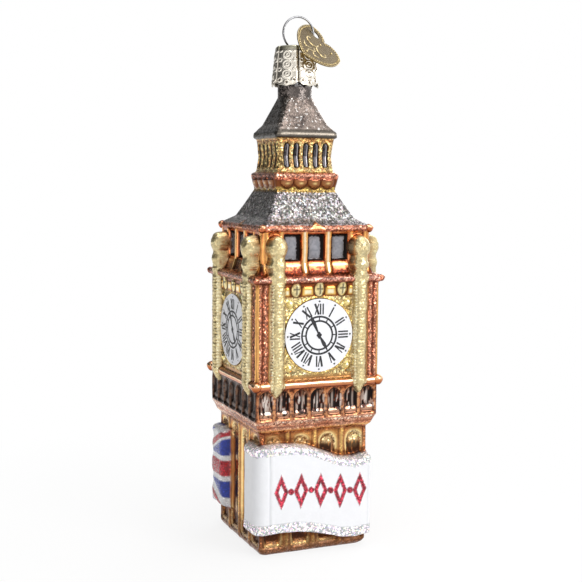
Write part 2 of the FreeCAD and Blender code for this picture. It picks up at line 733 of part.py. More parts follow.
def wire_path():
    """The hanger's centre line, up one leg, round the loop, down the other."""
    leg = size.leg_spacing.number / 2
    bend = size.shoulder_radius.number
    radius = size.loop_radius.number
    shift = size.loop_shift.number
    bore_radius = size.neck_radius.number - size.neck_wall.number
    reach = bore_radius - size.leg_clearance.number - size.wire_radius.number
    top = neck_top.number + size.cap_sheet.number
    start = top + size.shoulder_gap.number
    straight = top - size.leg_straight.number
    low = top - size.leg_length.number
    middle = loop_middle().number
    rise = middle - start
    width = shift + radius - leg - bend
    heel = (width ** 2 + rise ** 2 - bend ** 2) / (2 * (width + bend))
    heel_x = shift + radius - heel

    def at(x, z):
        return FreeCAD.Vector(x, 0, z)

    def on(x, z, r, degrees):
        turn = math.radians(degrees)
        return at(x + r * math.cos(turn), z + r * math.sin(turn))

    left_turn = math.degrees(math.atan2(start - middle, -leg - bend - shift))
    right_turn = math.degrees(math.atan2(start - middle, leg + bend - heel_x))
    left_join = on(shift, middle, radius, left_turn)
    right_join = on(heel_x, middle, heel, right_turn)
    crest = on(shift, middle, radius, 90)
    edge = on(shift, middle, radius, 0)
    left_half = (left_turn + 180) / 2
    right_half = (right_turn + 180 + 180) / 2
    edges = [
        Part.LineSegment(at(-reach, low), at(-leg, straight)),
        Part.LineSegment(at(-leg, straight), at(-leg, start)),
        Part.Arc(at(-leg, start), on(-leg - bend, start, bend, left_half), left_join),
        Part.Arc(left_join, crest, edge),
        Part.Arc(edge, on(heel_x, middle, heel, right_turn / 2), right_join),
        Part.Arc(right_join, on(leg + bend, start, bend, right_half), at(leg, start)),
        Part.LineSegment(at(leg, start), at(leg, straight)),
        Part.LineSegment(at(leg, straight), at(reach, low)),
    ]
    return Part.Wire([curve.toShape() for curve in edges])


def hanger_wire():
    """The spring wire hanger: a leaning loop and two splayed legs."""
    path = wire_path()
    start = path.Edges[0].valueAt(path.Edges[0].FirstParameter)
    along = path.Edges[0].tangentAt(path.Edges[0].FirstParameter)
    ring = Part.Wire([Part.Circle(start, along, size.wire_radius.number).toShape()])
    sweep = Part.BRepOffsetAPI.MakePipeShell(path)
    sweep.add(ring)
    sweep.setTransitionMode(1)
    sweep.build()
    sweep.makeSolid()
    feature = doc.addObject("Part::Feature", "hanger_wire")
    feature.Label = "hanger_wire"
    feature.Shape = sweep.shape()
    print("hanger volume %.3f, section times length %.3f"
          % (feature.Shape.Volume, path.Length * math.pi * size.wire_radius.number ** 2))
    return feature


def heart_outline(sketch):
    """Draw the heart, its notch up, about the hole at the sketch's origin."""
    middle = size.heart_across
    notch_y = size.heart_up
    lobe_y = notch_y - size.heart_lobe_drop
    waist_y = notch_y - size.heart_waist_drop
    tip_y = notch_y - size.heart_length
    lobe = math.hypot(size.heart_lobe.number, size.heart_lobe_drop.number)
    drop = waist_y.number - lobe_y.number
    waist_x = size.heart_lobe.number + math.sqrt(lobe ** 2 - drop ** 2)
    flank = size.heart_flank_radius.number
    notch = FreeCAD.Vector(middle.number, notch_y.number, 0)
    tip = FreeCAD.Vector(middle.number, tip_y.number, 0)
    waists = {}
    crowns = {}
    flanks = {}
    for side in (-1, 1):
        waist = FreeCAD.Vector(middle.number + waist_x * side, waist_y.number, 0)
        chord = waist - tip
        sag = flank - math.sqrt(flank ** 2 - chord.Length ** 2 / 4)
        outward = FreeCAD.Vector(chord.y * side, -chord.x * side, 0)
        outward.normalize()
        waists[side] = waist
        crowns[side] = FreeCAD.Vector(middle.number + size.heart_lobe.number * side,
                                      lobe_y.number + lobe, 0)
        flanks[side] = (tip + waist) / 2 + outward * sag
    sketch.addGeometry(Part.Arc(tip, flanks[1], waists[1]))
    sketch.addGeometry(Part.Arc(waists[1], crowns[1], notch))
    sketch.addGeometry(Part.Arc(notch, crowns[-1], waists[-1]))
    sketch.addGeometry(Part.Arc(waists[-1], flanks[-1], tip))
    for i in range(4):
        sketch.addConstraint(Sketcher.Constraint("Coincident", i, 2, (i + 1) % 4, 1))
    pin(sketch, 0, 1, middle, tip_y)
    pin(sketch, 1, 2, middle, notch_y)
    pin(sketch, 1, 3, middle + size.heart_lobe, lobe_y)
    pin(sketch, 2, 3, middle - size.heart_lobe, lobe_y)
    pin(sketch, 1, 1, y=waist_y)
    pin(sketch, 2, 2, y=waist_y)
    hold_radius(sketch, 0, size.heart_flank_radius)
    hold_radius(sketch, 3, size.heart_flank_radius)


def heart_tag():
    """The heart-shaped tag that hangs by a hole in one of its lobes."""
    body = new_body("heart_tag")
    outline = new_sketch(body, "HeartSketch", "XY_Plane", size.tag_thickness / -2)
    heart_outline(outline)
    circle(outline, 0, 0, size.tag_hole_radius)
    pad(body, "Heart", outline, size.tag_thickness)
    lean = FreeCAD.Rotation(size.tag_yaw.number, size.tag_pitch.number,
                            size.tag_roll.number)
    body.Placement = FreeCAD.Placement(FreeCAD.Vector(0, 0, 0), lean)
    edge = size.loop_shift + size.loop_radius + size.tag_play
    body.setExpression("Placement.Base.x", edge.text)
    body.setExpression("Placement.Base.y", size.tag_depth.text)
    body.setExpression("Placement.Base.z", loop_middle().text)
    return body


def build():
    """Make every sub-part, recompute and check the document, write the files."""
    parts = [glass_body()]
    for label, turn in (("dial_front", 0), ("dial_right", 90),
                        ("dial_back", 180), ("dial_left", 270)):
        parts.append(dial(label, turn))
    parts.append(cap())
    parts.append(hanger_wire())
    parts.append(heart_tag())
    return parts


def check(parts):
    """Stop on any failed object, and on any sub-part that isn't one solid."""
    for thing in doc.Objects:
        if "Invalid" in thing.State or "Error" in thing.State:
            raise RuntimeError("%s failed: %s" % (thing.Name, thing.State))
    for part in parts:
        shape = part.Shape
        if shape.isNull() or not shape.isValid() or len(shape.Solids) != 1:
            raise RuntimeError(part.Label + " isn't one valid solid")


def write(parts):
    """Write each sub-part to its own file."""
    os.makedirs("parts", exist_ok=True)
    for part in parts:
        box = part.Shape.BoundBox
        print("%-12s %9.3f mm3, x %.2f..%.2f, y %.2f..%.2f, z %.2f..%.2f"
              % (part.Label, part.Shape.Volume, box.XMin, box.XMax, box.YMin, box.YMax,
                 box.ZMin, box.ZMax))
        part.Shape.exportStep("parts/%s.step" % part.Label)


parts = build()
for feature in doc.findObjects("PartDesign::Feature"):
    if hasattr(feature, "Refine"):
        feature.Refine = False
doc.recompute()
check(parts)
write(parts)
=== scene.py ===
"""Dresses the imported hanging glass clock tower: relief, lacquer, glitter and metal fittings."""
import math
from types import SimpleNamespace

import bpy
import numpy as np
from mathutils import Euler, Matrix, Vector
from mathutils.geometry import tessellate_polygon


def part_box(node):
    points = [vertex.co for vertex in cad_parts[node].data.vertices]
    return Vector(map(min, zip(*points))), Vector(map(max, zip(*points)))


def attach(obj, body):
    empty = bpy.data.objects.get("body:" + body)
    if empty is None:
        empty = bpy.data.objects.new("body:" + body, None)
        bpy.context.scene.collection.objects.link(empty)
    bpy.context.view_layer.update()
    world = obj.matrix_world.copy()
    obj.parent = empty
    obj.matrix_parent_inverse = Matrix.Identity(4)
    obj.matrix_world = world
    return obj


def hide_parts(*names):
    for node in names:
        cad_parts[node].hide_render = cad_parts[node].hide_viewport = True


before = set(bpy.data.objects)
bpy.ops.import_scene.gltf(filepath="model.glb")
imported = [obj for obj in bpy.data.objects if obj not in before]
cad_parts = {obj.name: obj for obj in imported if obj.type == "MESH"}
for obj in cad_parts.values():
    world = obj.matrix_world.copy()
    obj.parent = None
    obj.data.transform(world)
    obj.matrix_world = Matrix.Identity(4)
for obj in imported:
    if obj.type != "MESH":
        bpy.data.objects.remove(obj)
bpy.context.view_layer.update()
MM = 0.001

# ---------- measures in millimetres
DIAL_LOW, DIAL_HIGH = [[c / MM for c in v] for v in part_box("dial_front")]
DIAL_Z = (DIAL_LOW[2] + DIAL_HIGH[2]) / 2
DIAL_R = (DIAL_HIGH[2] - DIAL_LOW[2]) / 2
DIAL_FACE = -DIAL_LOW[1]
PROFILE = [(0, 13.2), (0.35, 13.75), (1.2, 14.2), (30.0, 14.2), (30.7, 15.0), (33.3, 16.0),
           (40.6, 16.0), (40.95, 16.75), (42.45, 16.75), (42.8, 16.0), (65.8, 16.0),
           (66.15, 16.95), (67.55, 16.95), (67.95, 14.95), (70.5, 14.1), (78.1, 14.1),
           (78.45, 14.5), (79.5, 14.3), (81.2, 11.5), (84.6, 9.6), (87.9, 7.85), (90.4, 8.4),
           (91.9, 8.5), (92.25, 7.6), (96.1, 7.1), (100.3, 7.6), (100.65, 8.3), (101.95, 8.3),
           (102.3, 7.95), (103.8, 6.7), (107.3, 5.25), (110.75, 4.0)]
BANNER_WAVE = [(0, .83), (.17, 1), (.34, .92), (.46, .58), (.59, -.12), (.71, -.75),
               (.84, -1), (.93, -.8), (1, -.5)]
FLAG_WAVE = [(0, .6), (.16, 1), (.33, .2), (.5, -.9), (.67, -.6), (.83, .4), (1, .9)]
WRAP_OUT, SIDE_OUT = 17.2, 16.3   # banner and flag over their own face, and round the left corner
COLUMNS, ROWS = 164, 604          # grid points across and up one side
SHAFT_BAYS = (-10.8, -3.6, 3.6, 10.8)
SCALLOPS = (-5.4, -1.8, 1.8, 5.4)
BELFRY_WINDOWS = (-6.2, 0, 6.2)
CORNER_COLUMNS = (-10.8, 10.8)
FRONT, BACK, LEFT = 0, 2, 3


def lin(r, g, b):
    """Turn an everyday colour of 0 to 255 into the renderer's linear one."""
    out = []
    for v in (r, g, b):
        v = v / 255
        out.append(v / 12.92 if v <= 0.04045 else ((v + 0.055) / 1.055) ** 2.4)
    return np.array(out)


def step(x, w=0.25):
    """A soft edge: 0 below, 1 above, w millimetres wide."""
    t = np.clip(x / w + 0.5, 0, 1)
    return t * t * (3 - 2 * t)


def bump(x, w):
    """A soft line: 1 at 0, about w wide to each side."""
    return np.exp(-(x / w) ** 2)


def span(x, low, high, w_low, w_high):
    """1 between low and high, with soft ends that wide."""
    return step(x - low, w_low) * step(high - x, w_high)


def box(u, z, u0, u1, z0, z1, w=0.25):
    """1 inside a rectangle with soft edges."""
    return step(u - u0, w) * step(u1 - u, w) * step(z - z0, w) * step(z1 - z, w)


def arch_sd(u, z, mid, width, foot, head, soft=1.0):
    """Distance inside an arched opening with a round head and softly rounded lower corners."""
    r = width / 2
    du = np.abs(u - mid)
    spring = head - r
    top = r - np.hypot(du, z - spring)
    side = r - du
    low = z - foot
    corner = soft - np.hypot(np.maximum(soft - side, 0), np.maximum(soft - low, 0))
    return np.where(z > spring, top, np.minimum(np.minimum(side, low), corner))


def noise(x, y, seed, octaves=1):
    """Smooth random values between 0 and 1."""
    total, weight, amount = 0, 0, 1.0
    for i in range(octaves):
        rng = np.random.default_rng(seed + i)
        grid = rng.random((257, 257))
        xi, yi = np.floor(x).astype(int), np.floor(y).astype(int)
        fx, fy = x - xi, y - yi
        fx, fy = fx * fx * (3 - 2 * fx), fy * fy * (3 - 2 * fy)
        a, b = xi % 256, yi % 256
        v = ((grid[a, b] * (1 - fx) + grid[a + 1, b] * fx) * (1 - fy)
             + (grid[a, b + 1] * (1 - fx) + grid[a + 1, b + 1] * fx) * fy)
        total, weight = total + v * amount, weight + amount
        x, y, amount = x * 2.03, y * 2.03, amount * 0.5
    return total / weight


def blur(a, columns, rows):
    """Gaussian blur by that many cells each way."""
    for axis, sigma in ((0, rows), (1, columns)):
        n = max(1, int(3 * sigma))
        k = np.exp(-0.5 * (np.arange(-n, n + 1) / sigma) ** 2)
        k /= k.sum()
        pad = [(0, 0), (0, 0)]
        pad[axis] = (n, n)
        p = np.pad(a, pad, mode="edge")
        a = sum(w * np.take(p, np.arange(i, i + a.shape[axis]), axis) for i, w in enumerate(k))
    return a


# ---------- paint
class Coat:
    """The colours and finish painted on a grid of points."""

    def __init__(self, shape):
        self.tint = np.zeros(shape + (4,))
        self.fin = np.zeros(shape + (3,))

    def lay(self, mask, rgb, rough, glitter=0.0, rainbow=0.0, metal=1.0):
        """Cover the masked points with a colour of 0 to 255 and its finish."""
        m = np.clip(mask, 0, 1)[..., None]
        self.tint = self.tint * (1 - m) + np.array([*lin(*rgb), rainbow]) * m
        self.fin = self.fin * (1 - m) + np.array([metal, rough, glitter]) * m


COPPER = (158, 88, 50)
BRONZE = (206, 140, 84)
GOLD = (226, 166, 98)
GOLD_HIGHLIGHT = (250, 218, 150)
ROSE = (186, 114, 86)
PANEL = (230, 206, 152)
CHAMPAGNE = (216, 196, 146)
PEWTER = (138, 125, 117)
SLATE = (158, 154, 149)
WHITE = (238, 239, 242)
RED = (176, 24, 40)
BLUE = (24, 48, 148)


def profile(z):
    """Half width of the plain tower at a height."""
    return np.interp(z, [p[0] for p in PROFILE], [p[1] for p in PROFILE])


Z1 = np.linspace(0, 110.75, ROWS)
T1 = np.linspace(-1, 1, COLUMNS)
BASE = profile(Z1)
BANNER_ZONE = step(Z1 - (4.35 + 1.55 * .83), .5) * step(25.0 + 2.4 * .83 - Z1, .5)
FLAG_ZONE = step(Z1 - (6.1 + .45 * .6), .5) * step(26.3 + .45 * .6 - Z1, .5)
ROUND = np.interp(Z1, [0, 1.5, 30, 40, 66, 79, 80, 88, 92, 100, 102, 107, 110.75],
                  [1.2, .7, .7, .5, .6, .8, .8, 1.0, 1.2, 1.2, 1.6, 2.6, 3.4])


def edge(face, side):
    """How far out a face stands at its left (-1) or right (1) edge, and the corner's radius."""
    high, radius = BASE, ROUND
    if (face, side) in ((FRONT, -1), (LEFT, 1)):
        out = WRAP_OUT if face == FRONT else SIDE_OUT
        high = BASE + (out - BASE) * BANNER_ZONE
        radius = ROUND + (3.0 - ROUND) * BANNER_ZONE
    if (face, side) in ((BACK, 1), (LEFT, -1)):
        out = WRAP_OUT if face == BACK else SIDE_OUT
        high = BASE + (out - BASE) * FLAG_ZONE
        radius = ROUND + (4.0 - ROUND) * FLAG_ZONE
    return high, radius


def union_flag(x, y):
    """Union flag colours at x (-30..30 from the hoist) and y (-15..15): white, red or blue."""
    red = np.zeros(x.shape)
    white = np.zeros(x.shape)
    c, s = 30 / math.hypot(30, 15), 15 / math.hypot(30, 15)
    for i, j in ((1, 1), (-1, 1), (-1, -1), (1, -1)):
        here = (x * i >= 0) & (y * j >= 0)
        p = (c * i * y - s * j * x)
        white = np.maximum(white, here * step(3.2 - np.abs(p), .7))
        red = np.maximum(red, here * step(p + .1, .5) * step(2.2 - p, .5))
    cross_w = np.maximum(step(5 - np.abs(x), .7), step(5 - np.abs(y), .7))
    cross_r = np.maximum(step(3 - np.abs(x), .7), step(3 - np.abs(y), .7))
    white = np.maximum(white, cross_w)
    red = np.maximum(red * (1 - cross_w), cross_r)
    return white, red


def column_height(u, z, mid):
    """Outer height of a corner column and its pinnacle over the face."""
    du = np.abs(u - mid)
    ring = 0.05 * np.cos(z * 2 * math.pi / .78)
    r = np.where(z < 66.2, 1.84 + ring, 0)
    r = np.where(z < 41.6, 1.84 * np.clip((z - 38.9) / 2.7, 0, 1) ** .6, r)
    ball = np.sqrt(np.clip(2.36 ** 2 - ((z - 74.3) * .82) ** 2, 0, None))
    stem = (1.72 + .42 * bump(z - 70.2, 1.0) + .25 * bump(z - 67.6, .6)) * (z < 74)
    bulb = np.maximum(ball, stem)
    r = np.where(z >= 66.2, bulb, r)
    inside = r * r - du * du
    return np.where((inside > 0) & (r > .05), 15.85 + np.sqrt(np.maximum(inside, 0)) * .93,
        0), r - du


def unpack(f, names):
    """The named fields of one side, in order."""
    return [getattr(f, name) for name in names.split()]


def shaft(f):
    """Arched bays between pilasters, and the foot."""
    u, z, au, base, h, lay, n1, streak = unpack(f, "u z au base h lay n1 streak")
    lay(np.ones(z.shape), BRONZE, .24, .25)
    lay(step(n1 - .5, .3) * .6, (198, 134, 72), .2, .3)
    lay(step(.42 - n1, .25) * .5, (118, 66, 34), .22, .3)
    in_shaft = span(z, .3, 30.2, .4, .6)
    for mid in SHAFT_BAYS:
        sd = arch_sd(u, z, mid, 5.3, 1.7, 29.6)
        inner = arch_sd(u, z, mid, 3.7, 3.0, 28.3, .9)
        h -= .5 * step(sd, .35)
        h += .30 * bump(sd - .42, .36) * in_shaft
        h -= .35 * step(inner, .4)
        h += .10 * bump(np.abs(u - mid) - .75, .28) * step(inner - .4, .4)
        lay(step(sd + .15, .3), GOLD, .16, .08)
        # painted highlight along each bay's raised frame
        lay(bump(sd - .42, .3), GOLD_HIGHLIGHT, .12)
        lay(step(sd - .6, .3) * step(z - 25.0, 1.4), (244, 212, 156), .28, .8)
        dark = step(inner - .1, .3) * step(26.4 - z, 1.4)
        lay(dark * .92, (58, 30, 16), .18, .1)
        # painted reflections: copper and white streaks in the dark backs of the bays
        lay(dark * step(streak - .6, .14), (212, 144, 78), .14, .1)
        lay(dark * step(streak - .72, .1), (250, 226, 186), .12)
        # painted shade: darker at the bottom of each bay
        lay(step(inner + .3, .3) * step(5.2 - z, 1.2) * .9, (92, 52, 26), .32, .3)
        lay(bump(inner - .05, .22) * step(4.8 - z, .8) * .8, (196, 140, 78), .22, .2)
    pil = np.minimum.reduce([np.abs(au - 7.2), np.abs(au)])
    h += .24 * bump(pil, .42) * in_shaft
    lay(bump(pil, .35) * in_shaft * .9, (226, 178, 100), .2, .5)
    lay(bump(pil - .75, .18) * in_shaft * .7, (104, 62, 30), .3, .2)
    rim = step(au - (base - .95), .4) * in_shaft
    lay(rim * .95, (188, 118, 76), .3, .9)
    lay(bump(au - (base - 1.15), .2) * in_shaft, (112, 50, 26), .25, .2)
    foot = step(1.9 - z, .5)
    lay(foot, (150, 94, 54), .3, .7)
    lay(bump(z - 1.75, .22) * .6, (206, 156, 106), .2, .3)
    # painted shade: the shaft darker towards its foot
    lay(step(7 - z, 5) * .65, (92, 50, 20), .32, .5)


def cornice(f):
    """The spreading cornice under the arcade."""
    z, h, lay, n1 = unpack(f, "z h lay n1")
    corn = span(z, 30.1, 33.5, .5, .4)
    lay(corn, (206, 132, 98), .28, .8)
    # painted highlights: lighter patches strewn at random
    lay(corn * step(n1 - .55, .2) * .6, (236, 180, 150), .22, .6)
    lay(bump(z - 30.6, .35), GOLD, .16, .1)
    lay(bump(z - 31.6, .22) * .7, (96, 44, 26), .3, .3)
    h += .22 * bump(z - 32.9, .5)
    # painted highlight along the crest of the top roll
    lay(bump(z - 32.75, .3) * .75, (236, 186, 160), .2, .9)


def arcade(f):
    """Seven arches with dark backs, painted reflection streaks and painted highlights along their
    edges.
    """
    face, u, z, h, lay, n2, streak = unpack(f, "face u z h lay n2 streak")
    arc = span(z, 33.3, 40.9, .3, .3)
    lay(arc, COPPER, .14)
    lay(arc * step(n2 - .56, .2) * .6, (216, 136, 84), .12)
    lay(arc * step(.44 - n2, .2) * .75, (58, 28, 18), .14)
    for i in range(7):
        mid = (i - 3) * 4.45
        sd = arch_sd(u, z, mid, 3.8, 33.7, 40.4, .5)
        h -= .62 * step(sd - .1, .4) * arc
        h += .16 * bump(sd + .12, .25) * arc
        h += .34 * bump(z - 34.6, .75) * step(sd - .3, .3)
        h += .12 * bump(u - mid + .15, .3) * step(sd - .4, .3) * step(z - 35.2, .5)
        # painted highlight along the edges of the arch frames
        lay(bump(sd + .02, .13) * arc * (.15 + .85 * step(n2 - .48, .2)), (236, 166, 110), .1)
        hole = step(sd - .12, .25)
        lay(hole, (34, 22, 20), .12)
        # painted reflections: copper and white streaks and a white line in the dark backs
        lay(hole * step(streak - .55, .1) * step(z - 35.0, .5), (150, 74, 42), .12)
        lay(hole * step(streak - .60, .05) * step(z - 34.9, .5), (232, 222, 214), .1)
        lay(hole * bump(u - mid + .62 * math.sin(i * 2.1), .2) * step(z - 35.4, .4)
            * step(39.6 - z + n2, .5) * .8, (226, 212, 202), .1)
        # painted reflection: a light patch at the foot of each arch
        lay(step(sd - .25, .25) * step(34.9 - z + (n2 - .5) * 2.8, .4), (206, 158, 130), .18)
        lay(step(sd - .2, .2) * bump(z - 35.55, .16), (40, 22, 18), .15)

    # painted shade: the arcade on the left face darkened, as if turned from the light
    if face == LEFT:
        lay(arc * .86, (36, 21, 14), .3, .15)


def lower_ledge(f):
    """The copper ledge under the clocks."""
    z, h, lay = unpack(f, "z h lay")
    ledge = span(z, 40.75, 42.75, .3, .3)
    h -= ledge * .28 * ((z - 41.7) / .9) ** 2
    lay(ledge, (190, 108, 58), .12)
    # painted highlight along the roll, painted shade along its underside
    lay(bump(z - 42.0, .24) * ledge, (255, 214, 170), .1)
    lay(bump(z - 40.95, .18) * ledge, (120, 48, 22), .14)


def clock_stage(f):
    """Panel, dial rim, bosses, plates, shields and corner piers."""
    u, z, au, h, lay, n2, r = unpack(f, "u z au h lay n2 r")
    stage = span(z, 42.7, 65.9, .3, .3)
    lay(stage, PANEL, .3, .95)
    lay(stage * step(n2 - .55, .25) * .45, (232, 204, 130), .28, .9)
    panel = stage * step(9.4 - au, .4)
    h -= .22 * panel
    lay(panel * step(44.0 - z, .5) * .8, (206, 160, 98), .2, .5)
    lay(bump(z - 43.3, .28) * stage * step(12.4 - au, .3), (246, 204, 132), .14)
    h += .2 * bump(r - DIAL_R - .35, .3) * stage
    lay(bump(r - DIAL_R - .38, .3) * stage, (206, 170, 96), .22, .5)
    lay(bump(r - DIAL_R - .02, .12) * stage, (120, 84, 36), .3, .1)
    for bu in (-7.5, 7.5):
        for bz, br in ((DIAL_Z - 7.7, .95), (DIAL_Z + 7.7, 1.0)):
            d = np.hypot(u - bu, z - bz)
            cap = np.sqrt(np.clip(1 - (d / br) ** 2, 0, 1))
            h += .62 * cap * stage
            lay(step(br - d, .2), (226, 196, 116), .2, .3)
            # painted highlight: a glint on the upper right of each boss
            lay(bump(np.hypot(u - bu - .2, z - bz - .3), .42), (255, 240, 190), .16, .1)
    plates = stage * step(z - 62.7, .3) * step(9.2 - au, .3)
    lay(plates, (150, 84, 34), .16, .1)
    for mid in (-3, 3, -8.3, 8.3):
        w = 1.3 if abs(mid) < 5 else .55
        lay(box(u, z, mid - w, mid + w, 63.1, 65.0, .4), (240, 190, 96), .12)
        # painted highlight on each raised plate
        lay(box(u, z, mid - w * .6, mid + w * .6, 63.4, 64.3, .4), (255, 246, 206), .1)
        h += .25 * box(u, z, mid - w, mid + w, 63.0, 65.1, .6)
    lay(bump(z - 65.45, .2) * step(12 - au, .3), (236, 160, 96), .12)
    h += .2 * bump(z - 65.45, .25) * step(12 - au, .3)
    for mid in (-6, 0, 6):
        d = np.hypot((u - mid) / 1.2, (z - 64.45) / 1.55)
        h += .62 * np.clip(1.15 - d ** 2, 0, 1) ** .5 * step(1.08 - d, .15)
        lay(step(1.08 - d, .15), (236, 212, 150), .2, .15)
        # painted highlight down the right side of each shield
        lay(step(1.0 - d, .1) * bump(u - mid - .35, .3), (255, 238, 180), .15, .1)
        upright = bump(u - mid, .24) * step(1.25 - np.abs(z - 64.45), .2)
        across = bump(z - 64.6, .22) * step(.85 - np.abs(u - mid), .2)
        mark = step(1.0 - d, .12) * np.maximum(upright, across)
        lay(mark, (24, 18, 10), .35, metal=.6)
        lay(bump(d - 1.18, .12) * .9, (62, 30, 12), .25)
    pier = stage * step(au - 12.35, .25)
    lay(pier, (112, 44, 22), .2, .15)
    for mid, w in ((13.75, .55), (15.0, .42)):
        h += .22 * bump(au - mid, w * .8) * pier
        lay(step(w - np.abs(au - mid), .25) * pier, ROSE, .3, 1.0)
        # painted highlight along the crest of each rose strip
        lay(bump(au - mid, .2) * pier * .6, (226, 160, 132), .26, .9)
    for mid in (12.75, 15.62):
        h += .15 * bump(au - mid, .2) * pier
        lay(bump(au - mid, .2) * pier, (250, 190, 110), .1)
    h -= .2 * bump(au - 14.42, .22) * pier


def upper_ledge(f):
    """The glittered ledge over the clocks."""
    z, h, lay = unpack(f, "z h lay")
    hood = span(z, 65.95, 67.8, .25, .25)
    h -= hood * .2 * ((z - 66.85) / .8) ** 2
    lay(hood, (190, 112, 88), .28, 1.0)
    # painted highlight along the crest, painted shade along the underside
    lay(bump(z - 67.0, .3) * hood * .7, (232, 176, 158), .25, 1.0)
    lay(bump(z - 66.1, .15), (110, 40, 22), .2, .2)


def belfry(f):
    """Sill, bars and three grey windows."""
    u, z, h, lay, n2 = unpack(f, "u z h lay n2")
    bel = span(z, 67.85, 78.3, .25, .3)
    lay(bel, (176, 92, 54), .14)
    lay(bel * step(n2 - .5, .3) * .5, (232, 158, 88), .12)
    sill = bel * step(70.4 - z, .3)
    lay(sill * step(68.9 - z, .4), (176, 88, 54), .2, .5)
    lay(sill * step(z - 68.9, .3) * step(n2 - .47, .2), (196, 128, 86), .24, .1)
    lay(sill * step(.47 - n2, .14) * .9, (104, 46, 28), .2, .1)
    # painted highlight along the top of the sill
    lay(sill * bump(z - 70.15, .22) * .8, (240, 200, 160), .14)
    for mid in (-3.1, 3.1):
        h += .34 * np.sqrt(np.clip(1 - ((u - mid) / .85) ** 2, 0, 1)) * bel
        lay(step(.8 - np.abs(u - mid), .3) * bel, (226, 160, 84), .12)
        # painted highlight down each rounded mullion
        lay(bump(u - mid + .12, .22) * bel, (255, 236, 200), .08)
    for s in (-1, 1):
        for mid, w in ((9.15, .45), (12.9, .4), (13.6, .25)):
            h += .2 * bump(u - s * mid, w) * bel
            lay(bump(u - s * mid, w * .8) * bel, (240, 176, 100), .12)
        lay(bump(u - s * 12.3, .2) * bel, (96, 30, 16), .16)
    for mid in BELFRY_WINDOWS:
        sq = np.minimum(np.minimum(2.15 - np.abs(u - mid), z - 71.1), 77.5 - z)
        h -= .75 * step(sq - .05, .4)
        lay(step(sq + .28, .25), (150, 54, 28), .16, .1)
        # painted shadow: the dark recess round each pane, widest on the right where the pane is
        # set over
        lay(step(sq, .25), (26, 18, 18), .14)
        wob = (n2 - .5) * .5
        pane = (step(1.45 - np.abs(u - mid + .35) + wob, .25) * step(z - 71.7 + wob, .3)
            * step(76.9 - z + wob, .3))
        lay(pane, (138, 138, 144), .42, metal=.35)
        lay(pane * step(n2 - .5, .3) * .6, (106, 108, 116), .42, metal=.35)
        # painted highlight along each window's edge
        lay(bump(sq + .12, .1) * bel * .8, (244, 150, 90), .1)


def eave(f):
    """The glittered eave under the roof."""
    z, h, lay = unpack(f, "z h lay")
    eave = span(z, 78.05, 79.75, .25, .3)
    h += .18 * bump(z - 78.7, .55)
    lay(eave, (186, 104, 76), .28, .95)
    # painted highlight along the crest of the eave
    lay(bump(z - 78.9, .3) * eave * .6, (228, 160, 132), .25, .9)


def lower_roof(f):
    """Glittered slate with a small gable."""
    face, u, z, au, base, h, lay, n1 = unpack(f, "face u z au base h lay n1")
    roof = span(z, 79.6, 87.6, .4, .3)
    lay(roof, SLATE, .34, 1.0, .55, metal=.85)
    lay(roof * step(n1 - .5, .3) * .5, (146, 142, 144), .34, 1.0, .6, metal=.9)
    fleck = noise(f.u_true * 3.2, f.z_true * 3.2, 301 + face, 1)
    # painted glints: light flecks in the glitter; the dark flecks below are tone
    lay(roof * step(fleck - .64, .08) * .75, (240, 238, 240), .3, .7, .7, metal=.9)
    lay(roof * step(.36 - fleck, .08) * .7, (88, 84, 84), .34, 1.0, .2, metal=.9)
    lay(roof * bump(z - 80.0, .35) * .8, (70, 58, 56), .3, .8, .2)
    rib = roof * step(au - (base - .9), .5)
    lay(rib * .5, (96, 92, 96), .3, 1.0, .3, metal=.9)
    gable = 1.75 - np.abs(u) - (z - 78.9) * 1.05
    g = step(gable, .3) * step(z - 78.4, .3)
    h += .5 * g * np.clip((z - 78.9) * .8, 0, 1.3)
    lay(g, (198, 112, 62), .14, .1)
    # painted highlight along the gable's edges
    lay(bump(gable - .25, .2) * span(z, 78.6, 81, .3, .3), (246, 180, 118), .12)


def scallop_band(f):
    """Gold strip, scallops and rose band."""
    u, z, h, lay = unpack(f, "u z h lay")
    strip = span(z, 87.35, 88.9, .3, .3)
    lay(strip, (206, 172, 96), .3, 1.0, .1)
    scal = span(z, 88.6, 90.5, .3, .3)
    lay(scal, (120, 66, 32), .14)
    for mid in SCALLOPS:
        d = np.hypot((u - mid) / 1.75, (z - 89.9) / 1.75)
        lobe = step(1 - d, .15) * step(90.6 - z, .3)
        h += .55 * np.sqrt(np.clip(1 - d * d, 0, 1)) * step(90.6 - z, .6)
        lay(lobe, (140, 84, 40), .14, .1)
        # painted highlight on each lobe, painted shade under its lower rim
        lay(bump(np.hypot(u - mid, (z - 89.5) * 2.2), .5) * .8, (250, 214, 140), .12)
        lay(bump(d - 1.02, .08) * step(90.2 - z, .3), (96, 42, 16), .16)
    band = span(z, 90.35, 92.1, .3, .25)
    h += .18 * bump(z - 91.2, .6)
    lay(band, (188, 108, 80), .28, 1.0)
    # painted highlight along the crest of the band
    lay(band * bump(z - 91.4, .3) * .6, (230, 166, 140), .25, 1.0)
    lay(bump(z - 90.35, .14), (110, 44, 22), .2, .1)


